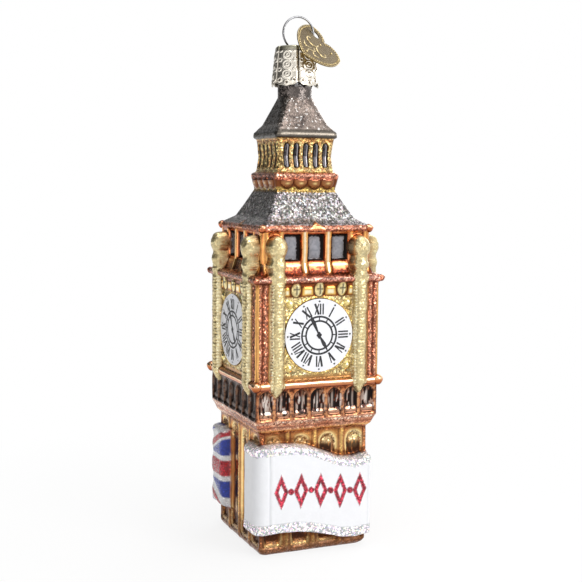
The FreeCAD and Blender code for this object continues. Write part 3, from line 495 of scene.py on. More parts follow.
def lantern(f):
    """Gold walls with five dark slots."""
    u, z, h, lay, n2 = unpack(f, "u z h lay n2")
    lan = span(z, 92.1, 100.5, .25, .25)
    lay(lan, (214, 184, 122), .3, .95, .08)
    lay(lan * step(n2 - .55, .2) * .6, (190, 120, 70), .28, .9)
    lay(lan * bump(z - 99.8, .4) * .6, (196, 120, 62), .25, .9)
    for i in range(5):
        mid = (i - 2) * 2.55
        sd = arch_sd(u, z, mid, 1.4, 93.3, 99.2, .5)
        h -= .5 * step(sd, .3)
        h += .12 * bump(sd + .3, .2) * lan
        lay(step(sd + .05, .2), (20, 16, 16), .2, metal=.9)
        pane = step(sd - .46 + (n2 - .5) * .35, .16) * step(z - 93.9, .3)
        lay(pane, (66, 60, 64), .4, metal=.4)
        # painted highlight down the right side of each slot
        lay(bump(sd - .28, .09) * step(u - mid, .4) * .8, (206, 200, 206), .14)


def spire_top(f):
    """The lip and the pewter spire."""
    u, z, h, lay, n1 = unpack(f, "u z h lay n1")
    lip = span(z, 100.4, 102.5, .25, .5)
    h -= lip * .12 * ((z - 101.3) / .9) ** 2
    spire = step(z - 100.45, .25)
    lay(spire, PEWTER, .32, .22, .08)
    lay(spire * step(n1 - .5, .25) * .6, (110, 99, 93), .3, .25, .05)
    speck = noise(u * 1.1 + 9, z * 1.1, 77, 2)
    lay(spire * step(speck - .64, .22) * span(z, 102.9, 108, .8, .8) * .8, (70, 62, 60), .3, .3)
    # painted glints: white specks on the spire
    lay(spire * step(noise(u * 3.2, z * 3.2, 171, 1) - .88, .04), (252, 250, 246), .2)
    lay(lip, (70, 63, 54), .42, .1, metal=.9)
    # painted highlight along the middle of the lip, painted shade along its underside
    lay(bump(z - 101.4, .22) * lip, (134, 124, 110), .36, .1, metal=.9)
    lay(bump(z - 100.65, .2) * lip, (58, 52, 44), .3)


def painted_left_shade(f):
    """Painted shade: the left roofs, spire and band are darkened, as if turned from the light."""
    face, z, lay = unpack(f, "face z lay")
    if face != LEFT:
        return
    roof = span(z, 79.6, 87.6, .4, .3)
    spire = step(z - 100.45, .25)
    lay(spire * .62, (60, 60, 57), .3, .8)
    lay(roof * .55, (84, 84, 80), .36, 1.0, .2, metal=.9)
    lay(span(z, 87.4, 92.1, .3, .3) * .4, (96, 56, 30), .26, .5)


def banner(f):
    """The white banner, its glittered borders and its plain ornament."""
    face, u, z, base, h, lay, n2 = unpack(f, "face u z base h lay n2")
    if face in (FRONT, LEFT):
        if face == FRONT:
            share = np.clip((u + SIDE_OUT) / 31.3, 0, 1)
        else:
            share = np.zeros(z.shape)
        w = np.interp(share, *zip(*BANNER_WAVE))
        low, high = 4.35 + 1.55 * w, 25.0 + 2.4 * w
        inside = np.minimum(z - low, high - z)
        if face == FRONT:
            inside = np.minimum(inside, 15.0 - u)
        else:
            inside = np.minimum(inside, (u - 8.4))
        on = step(inside, .3)
        swell = .12 * np.sin(share * 7.5 + .6)
        pillow = np.sqrt(np.clip(inside / .9, 0, 1)) - 1
        out = WRAP_OUT if face == FRONT else SIDE_OUT
        skin = out + swell * (face == FRONT) * step(u + 12, 2) + pillow * .75
        border = np.maximum(step(2.0 - (high - z) + (n2 - .5) * .3, .35),
                            step(2.7 - (z - low) + (n2 - .5) * .3, .35))
        skin = skin + .10 * border * step(inside - .3, .3)
        if face == FRONT:
            skin = skin - .22 * bump(u + 12.7, .16) + .12 * bump(u + 12.2, .35)
            skin = skin - .10 * bump(u - 14.3, .16)
        h = h * (1 - on) + np.maximum(skin, base) * on
        # painted shade: grey on the banner's outer wall and rolled-off edges
        lay(step(inside + .15, .3), (206, 206, 210), .3, .3, .2, metal=0)
        lay(on, WHITE, .09, metal=0)
        lay(on * border, (232, 231, 235), .34, .5, .9, metal=.1)
        lay(on * step(.55 - inside, .5) * .6, (204, 205, 210), .3, .5, .5, metal=.1)
        if face == FRONT:
            # painted shade: grey in the scroll groove, along the rolled right end and beside it
            lay(bump(u + 12.7, .1) * on * (1 - border) * .55, (176, 178, 184), .15, metal=0)
            lay(bump(z - low - 2.8, .09) * on * .6, (172, 174, 180), .2, metal=0)
            lay(bump(u - 14.45, .16) * on * .75, (178, 181, 188), .2, metal=0)
            lay(bump(u - 13.2, .12) * on * (1 - border) * .35, (196, 198, 204), .15, metal=0)
            # a plain row of red lozenges and dots
            mz = 15.6 + .7 * w
            ornament = np.zeros(z.shape)
            for i in range(9):
                mid = -9.9 + i * 2.6
                if i % 2 == 0:
                    d = np.abs(u - mid) / 1.85 + np.abs(z - mz) / 4.3
                    hole = np.abs(u - mid) / .75 + np.abs(z - mz) / 1.9
                    shape = step(1 - d, .16) * (1 - step(1 - hole, .3))
                else:
                    d = np.hypot(u - mid, z - mz)
                    shape = step(.78 - d, .18)
                ornament = np.maximum(ornament, shape)
            h += .12 * ornament * on
            lay(ornament * on, (176, 34, 58), .3, 1.0, .08, metal=.35)
            lay(bump(ornament - .35, .25) * on * .3, (150, 150, 156), .3, .2, metal=.1)
    f.h = h


def flag(f):
    """The flag, moulded and painted."""
    face, u, z, base, h, lay = unpack(f, "face u z base h lay")
    if face in (BACK, LEFT):
        if face == BACK:
            share = np.clip((SIDE_OUT - u) / 30.9, 0, 1)
            run = 10.7 + (SIDE_OUT - u) - 1.7
        else:
            share = np.zeros(z.shape)
            run = (-6.6 - u)
        w = np.interp(share, *zip(*FLAG_WAVE))
        low, high = 6.1 + .45 * w, 26.3 + .45 * w
        inside = np.minimum(z - low, high - z)
        inside = np.minimum(inside, (u + 14.6) if face == BACK else (-6.6 - u))
        on = step(inside, .3)
        pillow = np.sqrt(np.clip(inside / 1.3, 0, 1)) - 1
        out = WRAP_OUT if face == BACK else SIDE_OUT
        skin = out + pillow * .7 + .12 * np.sin(share * 11) * (face == BACK)
        x = run / 39.9 * 60 - 30
        y = (z - (low + high) / 2) / 10.1 * 15
        white, red = union_flag(x, y)
        blue = np.clip(1 - np.maximum(white, red), 0, 1)
        edge_white = step(.6 - np.minimum(z - low, high - z), .4)
        on_paint = step(inside + .3, .2)
        skin = skin - .12 + .42 * blur(np.maximum(blue, red), 3, 3)
        h = h * (1 - on) + np.maximum(skin, base) * on
        # painted shade: grey on the flag's outer wall
        lay(step(inside + .15, .3), (206, 206, 210), .3, .3, .2, metal=0)
        lay(on_paint, (228, 228, 230), .16, .12, .1, metal=0)
        lay(on_paint * blue, BLUE, .24, .35, metal=.3)
        lay(on_paint * red, RED, .2, .6, metal=.2)
        lay(on * edge_white, (222, 222, 226), .3, .3, .3, metal=0)
    f.h = h


def finish_relief(f):
    """Soften the relief, darken its hollows (antique lacquer and painted shade) and lighten its
    ridges (painted highlight), then add the columns and round the corners.
    """
    u, z, u_true, h, c, r, hl, rl, hr, rr, lay = unpack(f, "u z u_true h c r hl rl hr rr lay")
    h = blur(h, .85, .95)
    tone = np.clip((h - blur(h, 4.9, 5)) / .26, -1, 1)
    metal = c.fin[..., 0]
    # darker hollows: part antique lacquer, part painted shade and dark reflection; lighter ridges
    # (up): painted highlight
    hollow_lacquer_and_shade = np.clip(-tone, 0, 1) * metal * (z < 79) * (1 - .45 * c.fin[..., 2])
    up = np.clip(tone, 0, 1) * metal * (1 - .6 * c.fin[..., 2])
    c.tint[..., :3] *= (1 - hollow_lacquer_and_shade[..., None] * (1 - np.array([.36, .20, .13])))
    c.tint[..., :3] += up[..., None] * .30 * (1 - c.tint[..., :3]) * (c.tint[..., :3] + .12)
    for mid in CORNER_COLUMNS:
        col, depth = column_height(u, z, mid)
        on = (col > 0) & (col > h)
        side = np.abs(u - mid)
        bead = noise(u * 2.2 + 10, z * 2.2, 91 + int(mid), 2)
        m = step(depth + .05, .35) * (z > 38.9) * (z < 77.4)
        lay(m, CHAMPAGNE, .40, .22, .02, metal=.9)
        lay(m * step(bead - .55, .2) * .5, (238, 224, 178), .28, .3)
        lay(m * bump(side - 1.5, .24) * (z < 66) * (.5 + .5 * np.cos(z * 8.05)), (250, 238, 200),
            .2, .3)
        lay(m * bump(side - 1.1, .16) * .45 * (z < 66), (150, 122, 66), .3, .6)
        lay(bump(depth + .12, .16) * (z > 40) * (z < 76.6) * .6, (110, 70, 34), .3, .2)
        lumps = .30 * (bead - .5)
        h = np.where(on, col + lumps, h)
    h = blur(h, .5, .5)
    for side, w, radius in ((-1, hl, rl), (1, hr, rr)):
        over = np.clip(side * u_true - (w - radius)[:, None], 0, .707 * radius[:, None])
        R = np.repeat(radius[:, None], COLUMNS, 1)
        h -= R - np.sqrt(np.maximum(R * R - over * over, 0))
    hollow = (r < DIAL_R + .1)
    h = np.where(hollow, np.minimum(h, DIAL_FACE - .22), h)
    f.h = h


def face_field(face):
    """Points, colours and finish of one side of the tower, stage by stage."""
    z = np.repeat(Z1[:, None], COLUMNS, 1)
    hl, rl = edge((face - 1) % 4, 1)
    hr, rr = edge((face + 1) % 4, -1)
    # the columns are set from the taper, with the corner's rounding taken off
    left, right = hl - .293 * rl, hr - .293 * rr
    t = np.repeat(T1[None, :], ROWS, 0)
    u = np.where(t < 0, t * left[:, None], t * right[:, None])
    seed = 40 + face * 17
    # the moulded lines wander a little, as blown glass does
    u_true, z_true = u, z
    u = u + .26 * (noise(u * .42 + 50, z * .3, seed + 70, 2) - .5)
    z = z + .30 * (noise(u * .3 + 50, z * .42, seed + 80, 2) - .5)
    base = np.repeat(BASE[:, None], COLUMNS, 1)
    h = base + .16 * (noise(u_true * .3 + 70, z * .3, seed + 90, 2) - .5)
    n1 = noise(u * .55 + 40, z * .55, seed, 3)
    n2 = noise(u * 2.2 + 60, z * 2.2, seed + 5, 2)
    streak = noise(u * 2.6 + 30, z * .45, seed + 9, 2)
    coat = Coat(z.shape)
    f = SimpleNamespace(
        face=face, u=u, z=z, u_true=u_true, z_true=z_true, au=np.abs(u), base=base,
        h=h, c=coat, lay=coat.lay, n1=n1, n2=n2, streak=streak, hl=hl, rl=rl, hr=hr, rr=rr,
        r=np.hypot(u_true, z_true - DIAL_Z))
    for stage in (shaft, cornice, arcade, lower_ledge, clock_stage, upper_ledge, belfry, eave,
            lower_roof, scallop_band, lantern, spire_top, painted_left_shade, banner, flag,
            finish_relief):
        stage(f)
    return u_true, z_true, f.h, f.c


def place(face, u, z, h):
    """Turn face coordinates, seen from outside, into the tower's own."""
    x, y = u, -h
    for _ in range(face):
        x, y = -y, x
    return np.stack([x, y, z], -1)


def grid_faces(rows, columns, wrap=False):
    """Four-sided faces over a grid of points, closed round if wrap is set."""
    a = np.arange(rows * columns).reshape(rows, columns)
    if wrap:
        a = np.concatenate([a, a[:, :1]], 1)
    return np.stack([a[:-1, :-1], a[:-1, 1:], a[1:, 1:], a[1:, :-1]], -1).reshape(-1, 4)


def make_mesh(name, points, faces, smooth=True):
    """A mesh object from points in millimetres."""
    mesh = bpy.data.meshes.new(name)
    points = np.asarray(points, float).reshape(-1, 3) * MM
    faces = [list(map(int, f)) for f in faces]
    mesh.from_pydata(points.tolist(), [], faces)
    mesh.validate()
    if smooth:
        mesh.polygons.foreach_set("use_smooth", [True] * len(mesh.polygons))
    mesh.update()
    obj = bpy.data.objects.new(name, mesh)
    bpy.context.scene.collection.objects.link(obj)
    return obj


def paint_points(obj, tint, fin):
    """Store colours and finish on the mesh's points."""
    n = len(obj.data.vertices)
    a = obj.data.attributes.new("tint", "FLOAT_COLOR", "POINT")
    a.data.foreach_set("color", np.clip(tint, 0, 1).reshape(n, 4).astype(np.float32).ravel())
    f = np.concatenate([np.clip(fin, 0, 1).reshape(n, 3), np.ones((n, 1))], 1)
    b = obj.data.attributes.new("finish", "FLOAT_COLOR", "POINT")
    b.data.foreach_set("color", f.astype(np.float32).ravel())


def recoat(name, material):
    """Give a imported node, kept as it is, a new material."""
    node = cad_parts[name]
    node.data.materials.clear()
    node.data.materials.append(material)


def dress(obj, material, body):
    """Give a piece its material and slot, and let it ride on its body."""
    obj.data.materials.clear()
    obj.data.materials.append(material)
    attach(obj, body)
    return obj


# ---------- materials
class Tree:
    """A node tree under construction, with short calls for its nodes."""

    def __init__(self, tree):
        self.tree = tree

    def add(self, kind, **settings):
        node = self.tree.nodes.new(kind)
        for key, value in settings.items():
            setattr(node, key, value)
        return node

    def link(self, a, b):
        self.tree.links.new(a, b)

    def feed(self, socket, value):
        """Set a socket to a number or colour, or link it to another node's output."""
        if isinstance(value, bpy.types.NodeSocket):
            self.link(value, socket)
        elif socket.type == "RGBA":
            socket.default_value = (*value[:3], 1)
        else:
            socket.default_value = value

    def math(self, op, *values):
        node = self.add("ShaderNodeMath", operation=op)
        for socket, value in zip(node.inputs, values):
            self.feed(socket, value)
        return node.outputs[0]

    def vector(self, op, *values, scale=None):
        node = self.add("ShaderNodeVectorMath", operation=op)
        for socket, value in zip(node.inputs, values):
            self.feed(socket, value)
        if scale is not None:
            self.feed(node.inputs["Scale"], scale)
        return node.outputs["Value" if op == "LENGTH" else "Vector"]

    def mix(self, factor, a, b, blend="MIX"):
        node = self.add("ShaderNodeMix", data_type="RGBA", blend_type=blend)
        for key, value in (("Factor", factor), ("A", a), ("B", b)):
            self.feed([s for s in node.inputs if s.name == key and s.enabled][0], value)
        return [s for s in node.outputs if s.enabled][0]

    def spread(self, value, low, high, out_low, out_high):
        node = self.add("ShaderNodeMapRange", clamp=True)
        self.link(value, node.inputs["Value"])
        for key, v in (("From Min", low), ("From Max", high), ("To Min", out_low),
                ("To Max", out_high)):
            node.inputs[key].default_value = v
        return node.outputs[0]


class Nodes(Tree):
    """A material in object coordinates, round its Principled shader."""

    def __init__(self, name):
        self.mat = bpy.data.materials.new(name)
        self.mat.use_nodes = True
        super().__init__(self.mat.node_tree)
        self.shader = self.tree.nodes["Principled BSDF"]
        self.coord = self.add("ShaderNodeTexCoord").outputs["Object"]

    def noise(self, scale, detail=3, rough=.55, stretch=None):
        node = self.add("ShaderNodeTexNoise")
        node.inputs["Scale"].default_value = scale
        node.inputs["Detail"].default_value = detail
        node.inputs["Roughness"].default_value = rough
        source = self.coord
        if stretch:
            source = self.vector("MULTIPLY", self.coord, stretch)
        self.link(source, node.inputs["Vector"])
        return node.outputs["Fac"]

    def cells(self, scale):
        node = self.add("ShaderNodeTexVoronoi")
        node.inputs["Scale"].default_value = scale
        self.link(self.coord, node.inputs["Vector"])
        return node.outputs["Color"]

    def split(self, colour):
        node = self.add("ShaderNodeSeparateColor")
        self.link(colour, node.inputs[0])
        return node.outputs

    def set(self, key, value):
        self.feed(self.shader.inputs[key], value)

    def bump(self, height, strength, distance, normal=None):
        node = self.add("ShaderNodeBump")
        node.inputs["Strength"].default_value = strength
        node.inputs["Distance"].default_value = distance
        self.link(height, node.inputs["Height"])
        if normal is not None:
            self.link(normal, node.inputs["Normal"])
        return node.outputs[0]


def lacquer_material():
    """Silvered glass under lacquer: the painted tint, with glitter flakes where strewn."""
    n = Nodes("lacquered_glass")
    tint = n.add("ShaderNodeAttribute", attribute_name="tint")
    finish = n.add("ShaderNodeAttribute", attribute_name="finish")
    metal, rough, glitter = n.split(finish.outputs["Color"])[:3]
    flakes = n.cells(3300)
    large = n.cells(1900)
    fr = n.split(flakes)[0]
    lr = n.split(large)[0]
    # painted glints: each glitter flake's colour brightened at random; the flakes are also tilted
    # in the normal below
    flake_glint = n.math("POWER", fr, 3.0)
    flake_glint = n.math("MULTIPLY_ADD", flake_glint, 1.7, .52)
    large_flake_glint = n.math("MULTIPLY_ADD", n.math("POWER", lr, 3.0), 1.3, .70)
    flake_glint = n.math("MULTIPLY", flake_glint, large_flake_glint)
    factor = n.mix(glitter, (1, 1, 1), n.vector("SCALE", (1.0, 1.0, 1.0), scale=flake_glint))
    soft = n.noise(420, 4)
    cloud = n.spread(soft, .3, .7, .82, 1.16)
    colour = n.mix(1.0, tint.outputs["Color"], factor, "MULTIPLY")
    cloud = n.math("MULTIPLY_ADD", n.math("SUBTRACT", cloud, 1.0),
        n.math("MULTIPLY_ADD", metal, .9, .1), 1.0)
    colour = n.vector("SCALE", colour, scale=cloud)
    pastel = n.mix(.45, flakes, (1.0, 1.0, 1.0))
    pastel = n.vector("MULTIPLY", pastel, tint.outputs["Color"])
    pastel = n.vector("SCALE", pastel, scale=n.math("MULTIPLY", flake_glint, 1.5))
    colour = n.mix(n.math("MULTIPLY", tint.outputs["Alpha"], .6), colour, pastel)
    n.set("Base Color", colour)
    n.set("Metallic", metal)
    n.set("Roughness", rough)
    tilt = n.vector("SUBTRACT", flakes, (.5, .5, .5))
    tilt = n.vector("SCALE", tilt, scale=n.math("MULTIPLY", glitter, .95))
    ripple = n.noise(900, 3)
    skin = n.bump(ripple, .22, .00012)
    normal = n.vector("NORMALIZE", n.vector("ADD", skin, tilt))
    n.set("Normal", normal)
    n.set("Coat Weight", .18)
    n.set("Coat Roughness", .1)
    return n.mat


def dial_material():
    """White enamel with a faint mottle."""
    n = Nodes("dial_enamel")
    soft = n.noise(600, 3)
    n.set("Base Color", n.mix(n.spread(soft, .3, .7, 0, 1), lin(232, 233, 238),
        lin(243, 243, 246)))
    n.set("Roughness", n.spread(n.noise(1500), .3, .7, .3, .42))
    n.set("Normal", n.bump(n.noise(2600), .08, .00005))
    return n.mat


def ink_material():
    """Black print, a little worn."""
    n = Nodes("dial_ink")
    soft = n.noise(2200, 3)
    n.set("Base Color", n.mix(n.spread(soft, .3, .7, 0, 1), lin(14, 14, 18),
        lin(40, 40, 46)))
    n.set("Roughness", .45)
    n.set("Normal", n.bump(soft, .1, .00003))
    return n.mat


def metal_material(name, dark, mid, light, rough, scale, grain=None, bump=.15):
    """Metal with patina in clouds and fine scratches."""
    n = Nodes(name)
    cloud = n.noise(scale, 5, .6)
    fine = n.noise(scale * 6, 3, .6, grain)
    a = n.mix(n.spread(cloud, .32, .62, 0, 1), dark, mid)
    a = n.mix(n.spread(fine, .5, .75, 0, .6), a, light)
    n.set("Base Color", a)
    n.set("Metallic", 1.0)
    n.set("Roughness", n.spread(fine, .3, .7, rough * .75, rough * 1.35))
    n.set("Normal", n.bump(fine, bump, .00006))
    return n.mat


def tinted_metal(name, rough):
    """Metal coloured by the tint on its points, with fine scratches."""
    n = Nodes(name)
    tint = n.add("ShaderNodeAttribute", attribute_name="tint")
    fine = n.noise(2600, 4, .6)
    cloud = n.noise(500, 3)
    a = n.vector("SCALE", tint.outputs["Color"],
        scale=n.spread(cloud, .3, .7, .85, 1.12))
    n.set("Base Color", a)
    n.set("Metallic", 1.0)
    n.set("Roughness", n.spread(fine, .3, .7, rough * .7, rough * 1.4))
    n.set("Normal", n.bump(fine, .2, .00006))
    return n.mat


LACQUER = lacquer_material()
INK = ink_material()

# ---------- the tower's four sides
fields = [face_field(f) for f in range(4)]
grids = [place(f, fields[f][0], fields[f][1], fields[f][2]) for f in range(4)]
for f in range(4):
    g = (f + 1) % 4
    seam = (grids[f][:, -1] + grids[g][:, 0]) / 2
    grids[f][:, -1], grids[g][:, 0] = seam, seam
    for channel in ("tint", "fin"):
        a, b = getattr(fields[f][3], channel), getattr(fields[g][3], channel)
        both = (a[:, -1] + b[:, 0]) / 2
        a[:, -1], b[:, 0] = both, both
SIDES = ["front", "right", "back", "left"]
quads = grid_faces(ROWS, COLUMNS)
for f in range(4):
    side = make_mesh("tower_" + SIDES[f], grids[f], quads)
    paint_points(side, fields[f][3].tint, fields[f][3].fin)
    dress(side, LACQUER, "glass")
    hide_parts("glass_body")

# ---------- closed foot, neck and knobs
ring = np.concatenate([grids[f][0, :-1] for f in range(4)])
foot_steps = ((1, 0), (.97, 0), (.9, 0), (.72, .12), (.4, .3), (.08, .35))
rings = [ring * [s, s, 1] + [0, 0, z] for s, z in foot_steps]
count = len(ring)
foot = make_mesh("foot_underside", np.array(rings),
                 grid_faces(len(rings), count, True)[:, ::-1].tolist()
                 + [list(range(5 * count, 6 * count))])
k = np.linspace(0, 1, len(rings))[:, None] * np.ones((1, count))
coat = Coat(k.shape)
coat.lay(np.ones(k.shape), (186, 128, 74), .26, .5)
coat.lay(step(k - .5, .5), (120, 78, 42), .22, .2)
paint_points(foot, coat.tint, coat.fin)
dress(foot, LACQUER, "glass")
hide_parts("glass_body")


def lathe(outline, turns=96, lumps=0.0, seed=3, middle=(0, 0)):
    """A turned form from (radius, height) points."""
    a = np.linspace(0, 2 * math.pi, turns, endpoint=False)
    o = np.array(outline, float)
    wob = 1 + lumps * (noise(np.cos(a)[None, :] * 2 + 9 + 0 * o[:, :1],
        np.sin(a)[None, :] * 2 + 9 + o[:, 1:] * .8, seed, 2) - .5)
    p = np.stack([o[:, :1] * np.cos(a) * wob + middle[0], o[:, :1] * np.sin(a) * wob + middle[1],
                  o[:, 1:] + 0 * a], -1)
    return p, grid_faces(len(o), turns, True)


neck_r = 4.3
outline = [(neck_r * .98, 107.0)]
outline += [(neck_r - .02 * math.sin(z * 2), z) for z in np.arange(108, 122.2, .7)]
outline += [(4.3, 122.3), (4.15, 122.62), (3.85, 122.7), (3.55, 122.6), (3.42, 122.2),
    (3.4, 119.0), (3.4, 112.0), (3.1, 109.0), (.1, 108.6)]
pts, neck_faces = lathe(outline, 72)
neck = make_mesh("glass_neck", pts, neck_faces)
coat = Coat(pts.shape[:2])
coat.lay(np.ones(pts.shape[:2]), (104, 96, 92), .24, .35)
coat.lay(step(pts[..., 2] - 113.5, 1), (188, 188, 190), .12)
coat.lay((pts[..., 2] < 108.7) * (np.hypot(pts[..., 0], pts[..., 1]) < 3.3) * 1.0, (120, 120, 124),
    .2)
paint_points(neck, coat.tint, coat.fin)
dress(neck, LACQUER, "glass")
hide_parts("glass_body")

points, faces, tints, fins = [], [], [], []
for kx, ky in ((1, 1), (1, -1), (-1, 1), (-1, -1)):
    for reach, zc, r, colour, gl in ((16.0, 41.7, 1.3, (196, 112, 60), 0.05),
                                     (13.95, 78.8, 1.05, (196, 108, 70), .45),
                                     (16.35, 66.85, .85, (190, 112, 86), .8)):
        o = [(r * math.cos(b) * (1 + .06 * math.sin(3 * b)) + .01, zc + r * math.sin(b))
             for b in np.linspace(-math.pi / 2, math.pi / 2, 19)]
        p, q = lathe(o, 28, .14, int(zc + kx * 3 + ky), (kx * reach, ky * reach))
        faces += (q + sum(len(x) for x in points)).tolist()
        flat = p.reshape(-1, 3)
        points.append(flat)
        coat = Coat((len(flat),))
        up = (flat[:, 2] - zc) / r
        coat.lay(np.ones(len(flat)), colour, .16, gl)
        # painted highlight on the upper side of each knob, painted shade on its underside
        coat.lay(bump(up - .45, .3) * (1 - gl), (255, 216, 172), .1)
        coat.lay(step(-up - .5, .5), (130, 62, 30), .2)
        tints.append(coat.tint)
        fins.append(coat.fin)
knobs = make_mesh("corner_knobs", np.concatenate(points), faces)
paint_points(knobs, np.concatenate(tints), np.concatenate(fins))
dress(knobs, LACQUER, "glass")
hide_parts("glass_body")


# ---------- dials
class Print:
    """Flat ink shapes on a dial, drawn in its own plane and turned onto each side."""

    def __init__(self):
        self.points, self.faces = [], []

    def stroke(self, a, b, wa, wb=None):
        wb = wa if wb is None else wb
        (x0, y0), (x1, y1) = a, b
        length = math.hypot(x1 - x0, y1 - y0) or 1
        nx, ny = -(y1 - y0) / length / 2, (x1 - x0) / length / 2
        self.quad([(x0 + nx * wa, y0 + ny * wa), (x0 - nx * wa, y0 - ny * wa),
                   (x1 - nx * wb, y1 - ny * wb), (x1 + nx * wb, y1 + ny * wb)])

    def quad(self, corners):
        k = len(self.points)
        self.points += corners
        self.faces.append(list(range(k, k + len(corners))))

    def ring(self, radius, width, n=120):
        k = len(self.points)
        for i in range(n):
            a = 2 * math.pi * i / n
            for r in (radius - width / 2, radius + width / 2):
                self.points.append((r * math.cos(a), r * math.sin(a)))
        for i in range(n):
            j = (i + 1) % n
            self.faces.append([k + 2 * i, k + 2 * i + 1, k + 2 * j + 1, k + 2 * j])


def draw_dial():
    """Rings, minute marks, Roman numerals and the two hands of one dial."""
    p = Print()
    p.ring(4.5, .46)
    p.ring(3.45, .44)
    for i in range(12):
        a = math.radians(90 - 30 * i)
        c, s = math.cos(a), math.sin(a)
        p.stroke((3.45 * c, 3.45 * s), (4.5 * c, 4.5 * s), .34, .22)
        near, m, far, w = 7.95, 8.125, 8.45, .62
        p.quad([(near * c, near * s), (m * c - s * w / 2, m * s + c * w / 2),
                (far * c, far * s), (m * c + s * w / 2, m * s - c * w / 2)])
    glyphs = {"I": [((0, 0), (0, 1), .36)], "V": [((-.5, 1), (0, 0), .5), ((.5, 1), (0, 0), .26)],
              "X": [((-.5, 1), (.5, 0), .5), ((.5, 1), (-.5, 0), .26)]}
    wide = {"I": .68, "V": 1.2, "X": 1.22}
    names = ["XII", "I", "II", "III", "IV", "V", "VI", "VII", "VIII", "IX", "X", "XI"]
    for i, name in enumerate(names):
        a = math.radians(-30 * i)
        total = sum(wide[g] for g in name)
        x = -total / 2
        for g in name:
            x += wide[g] / 2
            for (x0, y0), (x1, y1), w in glyphs[g]:
                ends = []
                for px, py in ((x0, y0), (x1, y1)):
                    lx, ly = x + px, 5.0 + py * 2.6
                    ends.append((lx * math.cos(a) - ly * math.sin(a),
                        lx * math.sin(a) + ly * math.cos(a)))
                p.stroke(ends[0], ends[1], w)
            x += wide[g] / 2
    for tip, w, tail in (((-2.6, 5.6), .95, 1.0), ((2.35, -3.9), 1.0, .8)):
        length = math.hypot(*tip)
        dx, dy = tip[0] / length, tip[1] / length
        p.quad([(-dx * tail, -dy * tail),
            (dx * length * .55 - dy * w / 2, dy * length * .55 + dx * w / 2),
                tip, (dx * length * .55 + dy * w / 2, dy * length * .55 - dx * w / 2)])
        p.stroke((0, 0), (dx * length * .6, dy * length * .6), .42)
    p.quad([(.75, .1), (.0, .95), (-.75, .0), (0, -.95)])
    return p


enamel = dial_material()
for f, side in enumerate(SIDES):
    p = draw_dial()
    flat = np.array(p.points)
    lift = DIAL_FACE + .03 + .001 * np.arange(len(flat)) % .02
    mesh_points = place(f, flat[:, 0], flat[:, 1] + DIAL_Z, lift)
    ink = make_mesh("dial_ink_" + side, mesh_points, p.faces, False)
    dress(ink, INK, "glass")
    recoat("dial_" + side, enamel)


# ---------- cap
CAP_LOW, CAP_HIGH = [[v / MM for v in c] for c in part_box("cap")]
LOBES, TURN = 6, math.radians(-105.3)


def lobed(a, seam, crown):
    """Radius of the lobed ring at angle a, sharp at its seams."""
    phase = ((a - TURN) / (2 * math.pi) * LOBES) % 1
    s = 2 * phase - 1
    chord = seam * math.cos(math.pi / LOBES)
    flat = chord / np.cos(s * math.pi / LOBES)
    return flat + (crown - chord) * np.sqrt(np.clip(1 - s ** 4, 0, 1)), s


